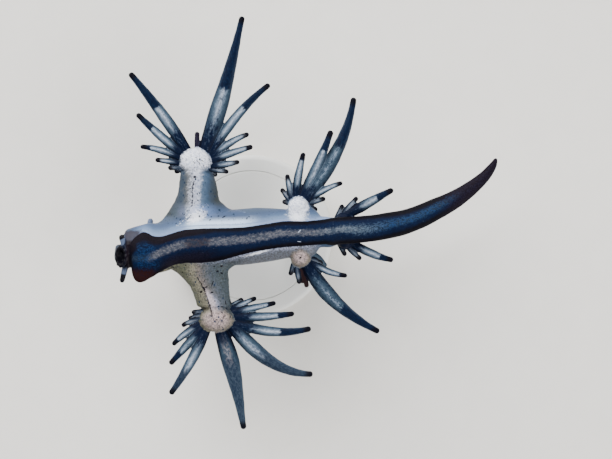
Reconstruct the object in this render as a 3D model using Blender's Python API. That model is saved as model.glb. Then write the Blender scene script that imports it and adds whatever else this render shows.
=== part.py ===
"""A life-size blue dragon sea slug that floats foot side up on a small display stand.

Sizes are in millimetres, and each mesh becomes metres as it is finished. The head points
to -X, the animal's left side to +Y, and its foot, which floats uppermost, to +Z. The
origin is on the ground, under the middle of the whole model.
"""

import math
from dataclasses import dataclass

import bmesh
import bpy
from mathutils import Matrix, Vector

MM = 0.001
GAP = 0.3
UP = Vector((0, 0, 1))

# Height of the body's middle plane above the ground, and how far the tail tip lifts
BODY_HEIGHT = 11.5
TAIL_RISE = 1.3
TAIL_RISE_FROM = 3.0

# The body seen from above, mouth to tail tip: x, y, half width, half height
BODY_LINE = (
    (-19.02, -3.35, 0.50, 0.45),
    (-18.85, -3.35, 0.88, 0.80),
    (-18.55, -3.34, 1.10, 1.00),
    (-18.20, -3.30, 1.22, 1.10),
    (-17.90, -3.26, 1.20, 1.12),
    (-17.62, -3.00, 1.50, 1.20),
    (-17.30, -2.74, 2.02, 1.30),
    (-16.65, -2.68, 2.32, 1.45),
    (-15.90, -2.60, 2.47, 1.58),
    (-15.20, -2.52, 2.52, 1.66),
    (-14.45, -2.42, 2.44, 1.76),
    (-12.45, -1.92, 2.35, 1.95),
    (-10.45, -1.66, 2.50, 2.12),
    (-8.45, -1.50, 2.72, 2.20),
    (-6.45, -1.40, 2.80, 2.15),
    (-4.45, -1.22, 2.75, 2.02),
    (-2.05, -1.07, 2.50, 1.82),
    (-0.45, -0.96, 2.18, 1.65),
    (1.55, -0.87, 1.56, 1.40),
    (2.50, -0.92, 1.46, 1.30),
    (3.40, -0.78, 1.32, 1.22),
    (5.85, -0.62, 1.33, 1.12),
    (8.25, -0.30, 1.30, 1.05),
    (10.55, 0.26, 1.20, 0.95),
    (12.85, 1.24, 1.08, 0.85),
    (15.15, 2.45, 0.88, 0.70),
    (17.45, 4.15, 0.60, 0.50),
    (18.60, 5.45, 0.40, 0.36),
    (19.08, 6.36, 0.22, 0.20),
)

# The foot's margins seen from above: x, y of its right margin, y of its left margin
FOOT_EDGES = (
    (-17.34, -4.25, -2.30),
    (-17.18, -5.05, -1.90),
    (-16.90, -5.66, -1.52),
    (-16.50, -5.92, -1.18),
    (-16.00, -5.85, -0.93),
    (-15.50, -5.58, -1.05),
    (-15.00, -5.32, -1.32),
    (-14.15, -4.75, -1.36),
    (-12.95, -4.15, -1.00),
    (-11.90, -3.97, -0.72),
    (-10.30, -3.94, -0.58),
    (-8.25, -3.68, -0.53),
    (-6.20, -3.12, -0.46),
    (-4.45, -2.74, -0.24),
    (-2.05, -2.40, 0.14),
    (0.35, -2.22, 0.17),
    (3.10, -2.02, 0.48),
)
FOOT_THICKNESS = 0.7
# How far the foot's top stands above the body's own curve
FOOT_RISE = 0.25
# The foot's margin stays this share of the body's half height up, past the flank
FOOT_MARGIN_LEVEL = 0.5
# How blunt the foot's margins are: 1 is an ellipse, less is squarer
FOOT_BLUNTNESS = 0.5

# Where the body is parted, along x
HEAD_END = -14.6
TAIL_START = 3.3
TAIL_MIDDLE = 11.0
# Length of body that its own direction is taken over
BODY_REACH = 1.0

# Mouth on the underside of the snout, which faces up here
MOUTH_CENTRE = (-18.22, -3.35, 1.0)
MOUTH_TILT = -24.0
LIP_RADIUS = 0.48
LIP_HALF_THICKNESS = 0.17
MOUTH_STRETCH = 1.75
MOUTH_DEPTH = 0.5

# How finely the round forms are cut: sides round each, and the body's ring spacing
BODY_SIDES = 20
BODY_SPACING = 0.52
FOOT_SIDES = 16
STALK_SIDES = 16
KNOB_SIDES = (16, 10)
FEELER_SIDES = 8
CERAS_SIDES = 8
SLIM_CERAS_SIDES = 6
# Cerata up to this breadth are cut with fewer sides
FEW_SIDES_UP_TO = 0.85
LIP_SIDES = (20, 8)
MOUTH_SIDES = (14, 8)
BASE_SIDES = 56
ROD_SIDES = 16
SHARP_ANGLE = 50


@dataclass(frozen=True)
class Surface:
    """A plain finish: its name, colour, roughness and how metallic it is."""

    name: str
    colour: tuple
    roughness: float
    metallic: float = 0.0


FLESH = Surface("silver_skin", (0.55, 0.62, 0.68, 1), 0.35)
SOLE = Surface("foot_blue", (0.02, 0.035, 0.12, 1), 0.3)
FINGER = Surface("cerata_blue", (0.05, 0.12, 0.24, 1), 0.3)
PLASTIC = Surface("stand_white", (0.86, 0.86, 0.84, 1), 0.4)
STEEL = Surface("rod_steel", (0.62, 0.62, 0.64, 1), 0.3, 1.0)


@dataclass(frozen=True)
class Feeler:
    """A short feeler on the head: base and tip in the body's frame, and its breadth."""

    name: str
    base: tuple
    tip: tuple
    breadth: float


FEELERS = (
    Feeler("oral_tentacle_left", (-17.75, -2.40, 0.35), (-18.32, -1.18, 0.55), 0.74),
    Feeler("oral_tentacle_right", (-17.80, -4.00, 0.25), (-18.25, -5.95, 0.40), 0.60),
    Feeler("rhinophore_left", (-15.75, -1.90, -0.75), (-15.50, 0.45, -1.35), 0.72),
    Feeler("rhinophore_right", (-15.75, -3.60, -0.75), (-15.55, -5.35, -1.50), 0.72),
)


# A feeler's breadth along its length, as shares of its own breadth
FEELER_SHAPE = ((0.0, 1.0), (0.35, 1.0), (0.7, 0.85), (0.92, 0.7), (1.0, 0.35))


@dataclass(frozen=True)
class Ceras:
    """One finger of a fan.

    It leaves the knob's rim at the compass angle `at` and its tip lies `reach` from the
    knob's middle on the compass angle `heading`. It leaves and arrives on the two given
    compass angles, or runs straight where these are None, and rises by `lift` degrees.
    """

    at: float
    heading: float
    reach: float
    breadth: float
    lift: float = 0.0
    leave: float | None = None
    arrive: float | None = None


@dataclass(frozen=True)
class Limb:
    """A side limb: its stalk's stations y, x from, x to, half height, and its fan."""

    name: str
    parted: bool
    stalk: tuple
    knob: tuple
    knob_radii: tuple
    cerata: tuple


LIMBS = (
    Limb(
        "front_left",
        parted=True,
        stalk=(
            (-1.00, -14.90, -5.20, 0.85),
            (-0.10, -14.80, -5.30, 1.05),
            (0.30, -14.28, -5.60, 1.12),
            (0.80, -13.86, -5.95, 1.16),
            (1.30, -13.52, -7.20, 1.18),
            (1.80, -13.20, -8.00, 1.18),
            (2.30, -12.90, -8.50, 1.16),
            (3.30, -12.64, -8.68, 1.14),
            (4.30, -12.48, -8.88, 1.10),
            (5.20, -12.40, -9.40, 0.95),
        ),
        knob=(-10.90, 6.15, 0.15),
        knob_radii=(1.50, 1.30, 1.15),
        cerata=(
            Ceras(215, 206, 2.30, 0.50, -20),
            Ceras(207, 193, 2.80, 0.52, -16),
            Ceras(188, 177.5, 4.05, 0.60, -10, 171, 177),
            Ceras(164, 164.6, 5.75, 0.74, -5, 155, 174),
            Ceras(147, 140.9, 7.60, 0.94, -2, 143, 136),
            Ceras(123, 126.5, 11.00, 1.24, 2, 124, 130),
            Ceras(84, 87.6, 2.95, 0.55, -12),
            Ceras(54, 71.9, 15.20, 1.78, 3, 69.5, 77),
            Ceras(31, 46.2, 10.70, 1.05, 1, 56, 38),
            Ceras(17, 27.6, 6.00, 0.78, -3, 40, 19),
            Ceras(4, 14.8, 5.90, 0.80, -2, 20, 15),
            Ceras(-20, 0, 4.35, 0.72, -8, 5, 12),
            Ceras(-33, -17.5, 3.40, 0.56, -12),
            Ceras(-46, -33, 2.50, 0.50, -18),
        ),
    ),
    Limb(
        "front_right",
        parted=True,
        stalk=(
            (-2.60, -13.60, -6.40, 0.85),
            (-4.00, -13.60, -6.60, 1.10),
            (-4.40, -13.50, -7.20, 1.16),
            (-4.70, -13.22, -7.56, 1.18),
            (-5.00, -12.78, -7.58, 1.18),
            (-5.50, -12.20, -7.55, 1.18),
            (-6.00, -11.74, -7.53, 1.16),
            (-6.50, -11.40, -7.52, 1.14),
            (-7.50, -11.00, -7.42, 1.10),
            (-8.55, -10.66, -7.25, 0.95),
        ),
        knob=(-8.77, -9.63, 0.15),
        knob_radii=(1.62, 1.30, 1.15),
        cerata=(
            Ceras(141, 165, 2.60, 0.50, -18),
            Ceras(160, 179, 2.80, 0.50, -18),
            Ceras(180, 191, 3.55, 0.58, -9, 196, 218),
            Ceras(197, 210.1, 5.14, 0.78, -5, 212, 226),
            Ceras(216, 223.8, 6.52, 0.92, -2, 228, 229),
            Ceras(232, 238.2, 8.82, 1.10, 1, 246, 235),
            Ceras(285, 284, 11.28, 1.86, 3, 291, 280),
            Ceras(-27, -29.7, 11.05, 1.56, 1, -50, 1),
            Ceras(-18, -5.5, 9.45, 1.05, 2, -17, 14),
            Ceras(9, 4.1, 7.76, 0.92, -1, -1, 7),
            Ceras(30, 15.4, 6.10, 0.74, -4),
            Ceras(45, 28.4, 4.45, 0.56, -9),
            Ceras(54, 37.8, 3.25, 0.52, -15),
        ),
    ),
    Limb(
        "middle_left",
        parted=False,
        stalk=(
            (-0.30, -2.30, 1.80, 0.85),
            (0.70, -2.20, 1.60, 1.00),
            (1.15, -1.95, 1.25, 1.00),
            (1.55, -1.62, 0.70, 0.95),
            (1.90, -1.40, 0.30, 0.80),
        ),
        knob=(-0.60, 1.65, 0.20),
        knob_radii=(1.00, 0.95, 0.95),
        cerata=(
            Ceras(160, 162, 1.65, 0.50, -22),
            Ceras(144, 134.5, 2.45, 0.56, -12),
            Ceras(130, 110, 3.40, 0.70, -4),
            Ceras(108, 84.6, 5.40, 0.85, 0, 85, 76),
            Ceras(69, 66.6, 8.25, 1.14, 4, 62, 70),
            Ceras(48, 63.1, 12.26, 1.58, -2, 53, 82),
            Ceras(37, 28.2, 4.97, 0.68, 6, 34, 15),
            Ceras(21, 16.8, 2.77, 0.62, -4),
            Ceras(-5, -10, 1.85, 0.66, -26),
        ),
    ),
    Limb(
        "middle_right",
        parted=False,
        stalk=(
            (-1.70, -2.00, 1.70, 0.90),
            (-2.50, -1.90, 1.50, 1.00),
            (-3.00, -1.65, 1.15, 1.00),
            (-3.45, -1.20, 0.60, 0.80),
        ),
        knob=(-0.42, -3.45, 0.15),
        knob_radii=(0.98, 0.95, 0.95),
        cerata=(
            Ceras(225, 240, 2.00, 0.50, -12),
            Ceras(247, 267.8, 2.62, 0.58, -6),
            Ceras(268, 275, 2.56, 0.50, -18),
            Ceras(288, 282.4, 3.05, 0.50, -14),
            Ceras(-48, -43.4, 10.90, 1.62, -3, -62, -27),
            Ceras(-22, -21.1, 5.00, 0.70, 8, -36, -4),
            Ceras(-9, -14, 2.27, 0.54, 0),
            Ceras(25, -20, 2.72, 0.85, -28, -22, -50),
        ),
    ),
    Limb(
        "rear_left",
        parted=False,
        stalk=(),
        knob=(3.90, 0.35, -0.30),
        knob_radii=(0.72, 0.60, 0.62),
        cerata=(
            Ceras(150, 93, 1.45, 0.50, -6),
            Ceras(90, 58.1, 2.61, 0.58, -2),
            Ceras(55, 31.1, 5.82, 1.08, 2, 29, 27),
        ),
    ),
    Limb(
        "rear_right",
        parted=False,
        stalk=(),
        knob=(4.05, -1.95, -0.30),
        knob_radii=(0.72, 0.60, 0.62),
        cerata=(
            Ceras(-120, -89, 1.25, 0.50, -8),
            Ceras(-60, -46.8, 2.31, 0.56, -4),
            Ceras(-11, -20.2, 5.15, 0.92, 2, -28, -11),
        ),
    ),
)

# How broad a ceras is along its length, as shares of its own breadth: a slim one is
# nearly even up to its round tip, and a broad one narrows from a third of its length
CERAS_SHAPE = (
    (0.00, 0.62, 0.62),
    (0.14, 0.86, 0.86),
    (0.32, 1.00, 0.97),
    (0.52, 0.99, 0.78),
    (0.72, 0.84, 0.55),
    (0.90, 0.67, 0.36),
    (1.00, 0.62, 0.30),
)
SLIM_CERAS = 0.7
BROAD_CERAS = 1.8
# Even the slimmest ceras keeps this half width up to its round tip
CERAS_LEAST = 0.24
CERAS_FLATNESS = 0.74
# Its round tip: distances from the end as shares of the tip, and what is left there
TIP_SHAPE = ((1.00, 1.00), (0.35, 0.76), (0.00, 0.30))
# The tip's length, and the most that it takes of a ceras's whole length
TIP_ROUNDING = 0.26
TIP_LIMIT = 0.08
# A ceras is rooted this deep inside the knob's rim, this much below the knob's middle
CERAS_ROOT = 0.6
CERAS_DROP = 0.25
# How far each end's direction carries, as a share of the ceras's length
CERAS_HANDLE = 0.36

BASE_RADIUS = 8.5
BASE_THICKNESS = 2.5
BASE_BEVEL = 0.5
BEVEL_STEPS = 2
BASE_CENTRE = (-5.6, -1.3)
ROD_RADIUS = 0.6
RODS = (("stand_rod_front", -9.2), ("stand_rod_rear", -1.8))


def hermite(rows, x, column):
    """Value of a column at x, on a smooth curve through rows that are sorted by x."""
    last = len(rows) - 1
    right = next((i for i in range(1, last) if rows[i][0] > x), last)
    left = right - 1
    span = rows[right][0] - rows[left][0]

    def slope(i):
        a, b = rows[max(i - 1, 0)], rows[min(i + 1, last)]
        return (b[column] - a[column]) / (b[0] - a[0])

    t = (x - rows[left][0]) / span
    start, end = rows[left][column], rows[right][column]
    return (
        (2 * t**3 - 3 * t**2 + 1) * start
        + (t**3 - 2 * t**2 + t) * span * slope(left)
        + (3 * t**2 - 2 * t**3) * end
        + (t**3 - t**2) * span * slope(right)
    )


def body_centre(x):
    """Point of the body's centreline at x."""
    lift = max(0.0, (x - TAIL_RISE_FROM) / (BODY_LINE[-1][0] - TAIL_RISE_FROM))
    return Vector((x, hermite(BODY_LINE, x, 1), BODY_HEIGHT + TAIL_RISE * lift**2))


def body_section(x, swell=0.0):
    """Centre, side direction, half width and half height of the body at x."""
    low = max(x - BODY_REACH, BODY_LINE[0][0])
    high = min(x + BODY_REACH, BODY_LINE[-1][0])
    along = body_centre(high) - body_centre(low)
    side = UP.cross(along).normalized()
    half_width = hermite(BODY_LINE, x, 2) + swell
    half_height = hermite(BODY_LINE, x, 3) + swell
    return body_centre(x), side, half_width, half_height


def add_ring(bm, centre, side, half_width, half_height, sides, up=UP):
    """Adds an elliptical ring of edges that stands across a limb, and returns them."""
    frame = Matrix((up * half_height, side * half_width, up.cross(side))).transposed()
    frame = Matrix.Translation(centre) @ frame.to_4x4()
    made = bmesh.ops.create_circle(bm, segments=sides, radius=1, matrix=frame)
    return list({e for v in made["verts"] for e in v.link_edges})


def close_loft(bm, rings):
    """Joins rings of edges in order into one closed tube with flat ends."""
    for near, far in zip(rings, rings[1:]):
        bmesh.ops.bridge_loops(bm, edges=near + far)
    bmesh.ops.holes_fill(bm, edges=bm.edges, sides=0)
    bmesh.ops.recalc_face_normals(bm, faces=bm.faces)


def new_object(name, bm):
    """An object in the scene from a bmesh that is still in millimetres."""
    mesh = bpy.data.meshes.new(name)
    bm.to_mesh(mesh)
    bm.free()
    obj = bpy.data.objects.new(name, mesh)
    bpy.context.scene.collection.objects.link(obj)
    return obj


def body_length(name, start, end, swell=0.0):
    """A length of the body between two x positions, as one closed solid."""
    bm = bmesh.new()
    rings = []
    count = math.ceil((end - start) / BODY_SPACING)
    for i in range(count + 1):
        x = start + (end - start) * i / count
        centre, side, half_width, half_height = body_section(x, swell)
        rings.append(add_ring(bm, centre, side, half_width, half_height, BODY_SIDES))
    close_loft(bm, rings)
    return new_object(name, bm)


def drape_foot(x, across, level, swell):
    """A point of the foot at x: across and level run from -1 to 1 over its section."""
    inside = min(max(x, FOOT_EDGES[0][0]), FOOT_EDGES[-1][0])
    right, left = hermite(FOOT_EDGES, inside, 1), hermite(FOOT_EDGES, inside, 2)
    centre, _, half_width, half_height = body_section(x)
    y = (left + right) / 2 + across * ((left - right) / 2 + swell)
    fall = max(1 - ((y - centre.y) / half_width) ** 2, FOOT_MARGIN_LEVEL**2)
    height = centre.z + half_height * math.sqrt(fall) + FOOT_RISE - FOOT_THICKNESS / 2
    return Vector((x, y, height + level * (FOOT_THICKNESS / 2 + swell)))


def make_foot(name="foot", swell=0.0):
    """The foot: a strip with rounded margins, laid along the body's upper side."""
    stations = [row[0] for row in FOOT_EDGES]
    if swell:
        stations = [stations[0] - swell, *stations, stations[-1] + swell]
    stations += [(a + b) / 2 for a, b in zip(stations, stations[1:])]
    bm = bmesh.new()
    rings = []
    for x in sorted(stations):
        made = bmesh.ops.create_circle(bm, segments=FOOT_SIDES, radius=1)
        for vert in made["verts"]:
            level = math.copysign(abs(vert.co.y) ** FOOT_BLUNTNESS, vert.co.y)
            vert.co = drape_foot(x, vert.co.x, level, swell)
        rings.append(list({e for v in made["verts"] for e in v.link_edges}))
    close_loft(bm, rings)
    return new_object(name, bm)


def stalk_tube(name, stalk):
    """A limb's stalk from its stations, in the body's middle plane."""
    bm = bmesh.new()
    side = Vector((math.copysign(1, stalk[0][0] - stalk[-1][0]), 0, 0))
    rings = []
    for y, x_from, x_to, half_height in stalk:
        centre = Vector(((x_from + x_to) / 2, y, BODY_HEIGHT))
        half_width = (x_to - x_from) / 2
        rings.append(add_ring(bm, centre, side, half_width, half_height, STALK_SIDES))
    close_loft(bm, rings)
    return new_object(name, bm)


def knob_ball(name, limb, swell=0.0):
    """The flattened ball at a limb's end, which carries the fan."""
    bm = bmesh.new()
    radii = [r + swell for r in limb.knob_radii]
    frame = Matrix.Translation(Vector(limb.knob) + UP * BODY_HEIGHT)
    frame @= Matrix.Diagonal((*radii, 1))
    around, down = KNOB_SIDES
    bmesh.ops.create_uvsphere(
        bm, u_segments=around, v_segments=down, radius=1, matrix=frame
    )
    return new_object(name, bm)


def compass(degrees):
    """Direction over the ground at an angle from +X towards +Y."""
    angle = math.radians(degrees)
    return Vector((math.cos(angle), math.sin(angle), 0))


def ceras_line(limb, ceras):
    """Four control points of a ceras's middle line, from inside the knob to its tip."""
    knob = Vector(limb.knob) + UP * (BODY_HEIGHT - CERAS_DROP)
    outward = compass(ceras.at)
    rim = Vector((outward.x * limb.knob_radii[0], outward.y * limb.knob_radii[1], 0))
    tip = knob + compass(ceras.heading) * ceras.reach
    chord = tip - (knob + rim)
    length = chord.length
    leave = chord / length if ceras.leave is None else compass(ceras.leave)
    arrive = chord / length if ceras.arrive is None else compass(ceras.arrive)
    tip += UP * length * math.tan(math.radians(ceras.lift))
    root = knob + rim - leave * CERAS_ROOT
    handle = length * CERAS_HANDLE
    return root, root + leave * (handle + CERAS_ROOT), tip - arrive * handle, tip


def on_curve(points, t):
    """Place and direction at t, from 0 to 1, on a curve with four control points."""
    a, b, c, d = points
    s = 1 - t
    place = a * s**3 + b * 3 * s**2 * t + c * 3 * s * t**2 + d * t**3
    along = (b - a) * s**2 + (c - b) * 2 * s * t + (d - c) * t**2
    return place, along.normalized()


def ceras_stations(ceras, length):
    """Places along a ceras from 0 to 1, and its half width at each."""
    half = ceras.breadth / 2
    broad = (ceras.breadth - SLIM_CERAS) / (BROAD_CERAS - SLIM_CERAS)
    broad = min(max(broad, 0.0), 1.0)
    stations = []
    for t, slim_share, broad_share in CERAS_SHAPE:
        share = slim_share + (broad_share - slim_share) * broad
        stations.append((t, max(half * share, CERAS_LEAST)))
    _, end = stations.pop()
    tip = min(TIP_LIMIT, TIP_ROUNDING / length)
    return stations + [(1 - tip * near, end * left) for near, left in TIP_SHAPE]


def ceras_tube(limb, ceras, swell=0.0):
    """One ceras as a closed tapering tube, flattened like the real one."""
    line = ceras_line(limb, ceras)
    sides = SLIM_CERAS_SIDES if ceras.breadth <= FEW_SIDES_UP_TO else CERAS_SIDES
    bm = bmesh.new()
    rings = []
    for t, half_width in ceras_stations(ceras, (line[3] - line[0]).length):
        place, along = on_curve(line, t)
        side = UP.cross(along).normalized()
        up = along.cross(side)
        half_height = half_width * CERAS_FLATNESS
        if t == 1:
            place += along * swell
        rings.append(
            add_ring(bm, place, side, half_width + swell, half_height + swell, sides, up)
        )
    close_loft(bm, rings)
    return new_object("ceras", bm)


def apply_modifiers(obj):
    """Gives an object the mesh that its modifiers make, and removes them."""
    graph = bpy.context.evaluated_depsgraph_get()
    made = bpy.data.meshes.new_from_object(obj.evaluated_get(graph))
    old = obj.data
    obj.modifiers.clear()
    obj.data = made
    bpy.data.meshes.remove(old)


def shell_area(shell):
    """Area of the faces round a set of vertices."""
    return sum(face.calc_area() for face in {f for v in shell for f in v.link_faces})


def keep_largest(obj):
    """Keeps only the largest closed surface out of those that a mesh holds."""
    bm = bmesh.new()
    bm.from_mesh(obj.data)
    left, shells = set(bm.verts), []
    while left:
        shell, edge = set(), [left.pop()]
        while edge:
            vert = edge.pop()
            shell.add(vert)
            near = {e.other_vert(vert) for e in vert.link_edges} & left
            left -= near
            edge.extend(near)
        shells.append(shell)
    largest = max(shells, key=shell_area)
    bmesh.ops.delete(bm, geom=list(set(bm.verts) - largest), context="VERTS")
    bm.to_mesh(obj.data)
    bm.free()


def combine(obj, others, operation):
    """Joins the others to an object, or cuts them from it, and removes them."""
    tools = bpy.data.collections.new("tools")
    bpy.context.scene.collection.children.link(tools)
    for other in others:
        bpy.context.scene.collection.objects.unlink(other)
        tools.objects.link(other)
    boolean = obj.modifiers.new("Combine", "BOOLEAN")
    boolean.operation = operation
    boolean.operand_type = "COLLECTION"
    boolean.collection = tools
    boolean.solver = "EXACT"
    apply_modifiers(obj)
    for other in others:
        bpy.data.objects.remove(other)
    bpy.data.collections.remove(tools)
    keep_largest(obj)


def clearances():
    """The space that the body and the foot need round them, as cutters."""
    around_body = body_length("around_body", BODY_LINE[0][0], TAIL_MIDDLE, GAP)
    return [around_body, make_foot("around_foot", GAP)]


def make_stalk(limb):
    """A limb's stalk, cut clear of the body it grows from and of its own fan."""
    stalk = stalk_tube(f"arm_{limb.name}", limb.stalk)
    around_fan = [knob_ball("around_knob", limb, GAP)]
    around_fan += [ceras_tube(limb, ceras, GAP) for ceras in limb.cerata]
    combine(stalk, clearances() + around_fan, "DIFFERENCE")
    return stalk


def make_fan(limb):
    """A knob with its cerata fused to it, and any stalk that isn't a part of its own."""
    fan = knob_ball(f"cerata_{limb.name}", limb)
    pieces = [ceras_tube(limb, ceras) for ceras in limb.cerata]
    if limb.stalk and not limb.parted:
        pieces.append(stalk_tube("stalk", limb.stalk))
    combine(fan, pieces, "UNION")
    combine(fan, clearances(), "DIFFERENCE")
    return fan


def make_feeler(feeler):
    """A short feeler that tapers to a blunt tip, cut clear of the head."""
    base = Vector(feeler.base) + UP * BODY_HEIGHT
    tip = Vector(feeler.tip) + UP * BODY_HEIGHT
    along = (tip - base).normalized()
    side = UP.cross(along).normalized()
    bm = bmesh.new()
    rings = []
    for t, share in FEELER_SHAPE:
        half = feeler.breadth / 2 * share
        up = along.cross(side)
        rings.append(add_ring(bm, base.lerp(tip, t), side, half, half, FEELER_SIDES, up))
    close_loft(bm, rings)
    obj = new_object(feeler.name, bm)
    combine(obj, clearances(), "DIFFERENCE")
    return obj


def make_head():
    """The head, with the mouth sunk in its upturned face inside a raised lip."""
    head = body_length("head", BODY_LINE[0][0], HEAD_END)
    place = Matrix.Translation(Vector(MOUTH_CENTRE) + UP * BODY_HEIGHT)
    place @= Matrix.Rotation(math.radians(MOUTH_TILT), 4, "Y")
    place @= Matrix.Diagonal((1, MOUTH_STRETCH, 1, 1))
    around, across = LIP_SIDES
    bm = bmesh.new()
    section = Matrix.Translation((LIP_RADIUS, 0, 0)) @ Matrix.Rotation(math.pi / 2, 4, "X")
    bmesh.ops.create_circle(
        bm, segments=across, radius=LIP_HALF_THICKNESS, matrix=section
    )
    bmesh.ops.spin(
        bm,
        geom=list(bm.verts) + list(bm.edges),
        cent=(0, 0, 0),
        axis=(0, 0, 1),
        angle=math.tau,
        steps=around,
        use_merge=True,
    )
    bmesh.ops.recalc_face_normals(bm, faces=bm.faces)
    bm.transform(place)
    combine(head, [new_object("lip", bm)], "UNION")
    bm = bmesh.new()
    place @= Matrix.Diagonal((LIP_RADIUS, LIP_RADIUS, MOUTH_DEPTH, 1))
    around, down = MOUTH_SIDES
    bmesh.ops.create_uvsphere(
        bm, u_segments=around, v_segments=down, radius=1, matrix=place
    )
    mouth_hollow = new_object("mouth_hollow", bm)
    combine(head, [mouth_hollow, make_foot("around_foot", GAP)], "DIFFERENCE")
    return head


def make_trunk():
    """The trunk between head and tail, with a trough for the foot along its top."""
    trunk = body_length("trunk", HEAD_END + GAP, TAIL_START - GAP / 2)
    combine(trunk, [make_foot("around_foot", GAP)], "DIFFERENCE")
    return trunk


def make_base():
    """The stand's round base, with a bevelled upper edge."""
    bm = bmesh.new()
    middle = Vector((*BASE_CENTRE, BASE_THICKNESS / 2))
    bmesh.ops.create_cone(
        bm,
        cap_ends=True,
        segments=BASE_SIDES,
        radius1=BASE_RADIUS,
        radius2=BASE_RADIUS,
        depth=BASE_THICKNESS,
        matrix=Matrix.Translation(middle),
    )
    rim = [e for e in bm.edges if all(v.co.z > BASE_THICKNESS / 2 for v in e.verts)]
    bmesh.ops.bevel(
        bm,
        geom=rim,
        offset=BASE_BEVEL,
        segments=BEVEL_STEPS,
        profile=0.5,
        affect="EDGES",
    )
    return new_object("stand_base", bm)


def make_rod(name, x):
    """A rod from the base up to the body's underside at x."""
    centre, _, _, half_height = body_section(x)
    bottom = BASE_THICKNESS + GAP
    top = centre.z - half_height - GAP
    bm = bmesh.new()
    bmesh.ops.create_cone(
        bm,
        cap_ends=True,
        segments=ROD_SIDES,
        radius1=ROD_RADIUS,
        radius2=ROD_RADIUS,
        depth=top - bottom,
        matrix=Matrix.Translation((centre.x, centre.y, (top + bottom) / 2)),
    )
    return new_object(name, bm)


def material(surface):
    """The plain material of a surface."""
    made = bpy.data.materials.new(surface.name)
    made.use_nodes = True
    shader = made.node_tree.nodes["Principled BSDF"]
    shader.inputs["Base Color"].default_value = surface.colour
    shader.inputs["Roughness"].default_value = surface.roughness
    shader.inputs["Metallic"].default_value = surface.metallic
    return made


def finish(obj, parent, look):
    """Scales a solid to metres, puts its origin at its middle, and gives it its look."""
    obj.data.transform(Matrix.Scale(MM, 4))
    low = Vector(map(min, zip(*(v.co for v in obj.data.vertices))))
    high = Vector(map(max, zip(*(v.co for v in obj.data.vertices))))
    middle = (low + high) / 2
    obj.data.transform(Matrix.Translation(-middle))
    obj.location = middle
    obj.parent = parent
    obj.data.materials.clear()
    obj.data.materials.append(look)
    obj.data.shade_smooth()
    obj.data.set_sharp_from_angle(angle=math.radians(SHARP_ANGLE))


def main():
    """Builds the sea slug and its stand."""
    for obj in list(bpy.data.objects):
        bpy.data.objects.remove(obj)
    slug = bpy.data.objects.new("blue_dragon", None)
    bpy.context.scene.collection.objects.link(slug)

    flesh = material(FLESH)
    finger = material(FINGER)
    steel = material(STEEL)
    half = GAP / 2
    finish(make_head(), slug, flesh)
    finish(make_trunk(), slug, flesh)
    finish(body_length("tail_front", TAIL_START + half, TAIL_MIDDLE - half), slug, flesh)
    finish(body_length("tail_tip", TAIL_MIDDLE + half, BODY_LINE[-1][0]), slug, flesh)
    for feeler in FEELERS:
        finish(make_feeler(feeler), slug, flesh)
    for limb in LIMBS:
        if limb.parted:
            finish(make_stalk(limb), slug, flesh)
    finish(make_foot(), slug, material(SOLE))
    for limb in LIMBS:
        finish(make_fan(limb), slug, finger)
    finish(make_base(), slug, material(PLASTIC))
    for name, x in RODS:
        finish(make_rod(name, x), slug, steel)


main()
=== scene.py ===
"""Looks of the life-size blue dragon sea slug: its skin, stand, light and camera.

Lengths are millimetres in the frame's own axes: the head points to -X, the animal's
left side to +Y, and its foot, which floats uppermost, to +Z. A finished mesh becomes
metres.
"""

import logging
import math
from collections.abc import Callable
from dataclasses import dataclass, field
from enum import Enum

import bmesh
import bpy
import numpy as np
from mathutils import Matrix, Vector, noise


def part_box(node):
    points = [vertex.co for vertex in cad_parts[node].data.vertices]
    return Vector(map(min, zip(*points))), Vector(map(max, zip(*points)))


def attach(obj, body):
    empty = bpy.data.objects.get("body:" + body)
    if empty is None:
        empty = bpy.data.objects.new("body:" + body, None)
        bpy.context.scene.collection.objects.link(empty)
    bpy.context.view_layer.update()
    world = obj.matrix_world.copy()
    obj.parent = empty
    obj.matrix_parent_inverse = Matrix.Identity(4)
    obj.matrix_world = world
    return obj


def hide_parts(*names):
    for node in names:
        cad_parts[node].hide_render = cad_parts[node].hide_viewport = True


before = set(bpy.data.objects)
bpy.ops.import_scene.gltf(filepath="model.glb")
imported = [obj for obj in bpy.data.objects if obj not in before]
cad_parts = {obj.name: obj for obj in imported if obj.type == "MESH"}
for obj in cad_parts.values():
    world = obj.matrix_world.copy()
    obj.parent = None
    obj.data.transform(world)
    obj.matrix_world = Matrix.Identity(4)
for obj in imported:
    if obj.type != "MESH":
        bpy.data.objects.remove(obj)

log = logging.getLogger("blue_dragon")

MM = 0.001
BODY_HEIGHT = 11.5
UP = np.array((0.0, 0.0, 1.0))

Placer = Callable[[np.ndarray, np.ndarray], np.ndarray]
Triple = tuple[float, float, float]
Colour = Triple


def ease(value: np.ndarray, low: float, high: float) -> np.ndarray:
    """Rises smoothly from 0 to 1.

    Args:
        value: Where to read the rise.
        low: Value at which the result is 0.
        high: Value at which the result is 1; it may be the lower of the two.

    Returns:
        The rise at each value.
    """
    t = np.clip((value - low) / (high - low), 0, 1)
    return t * t * (3 - 2 * t)


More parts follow.
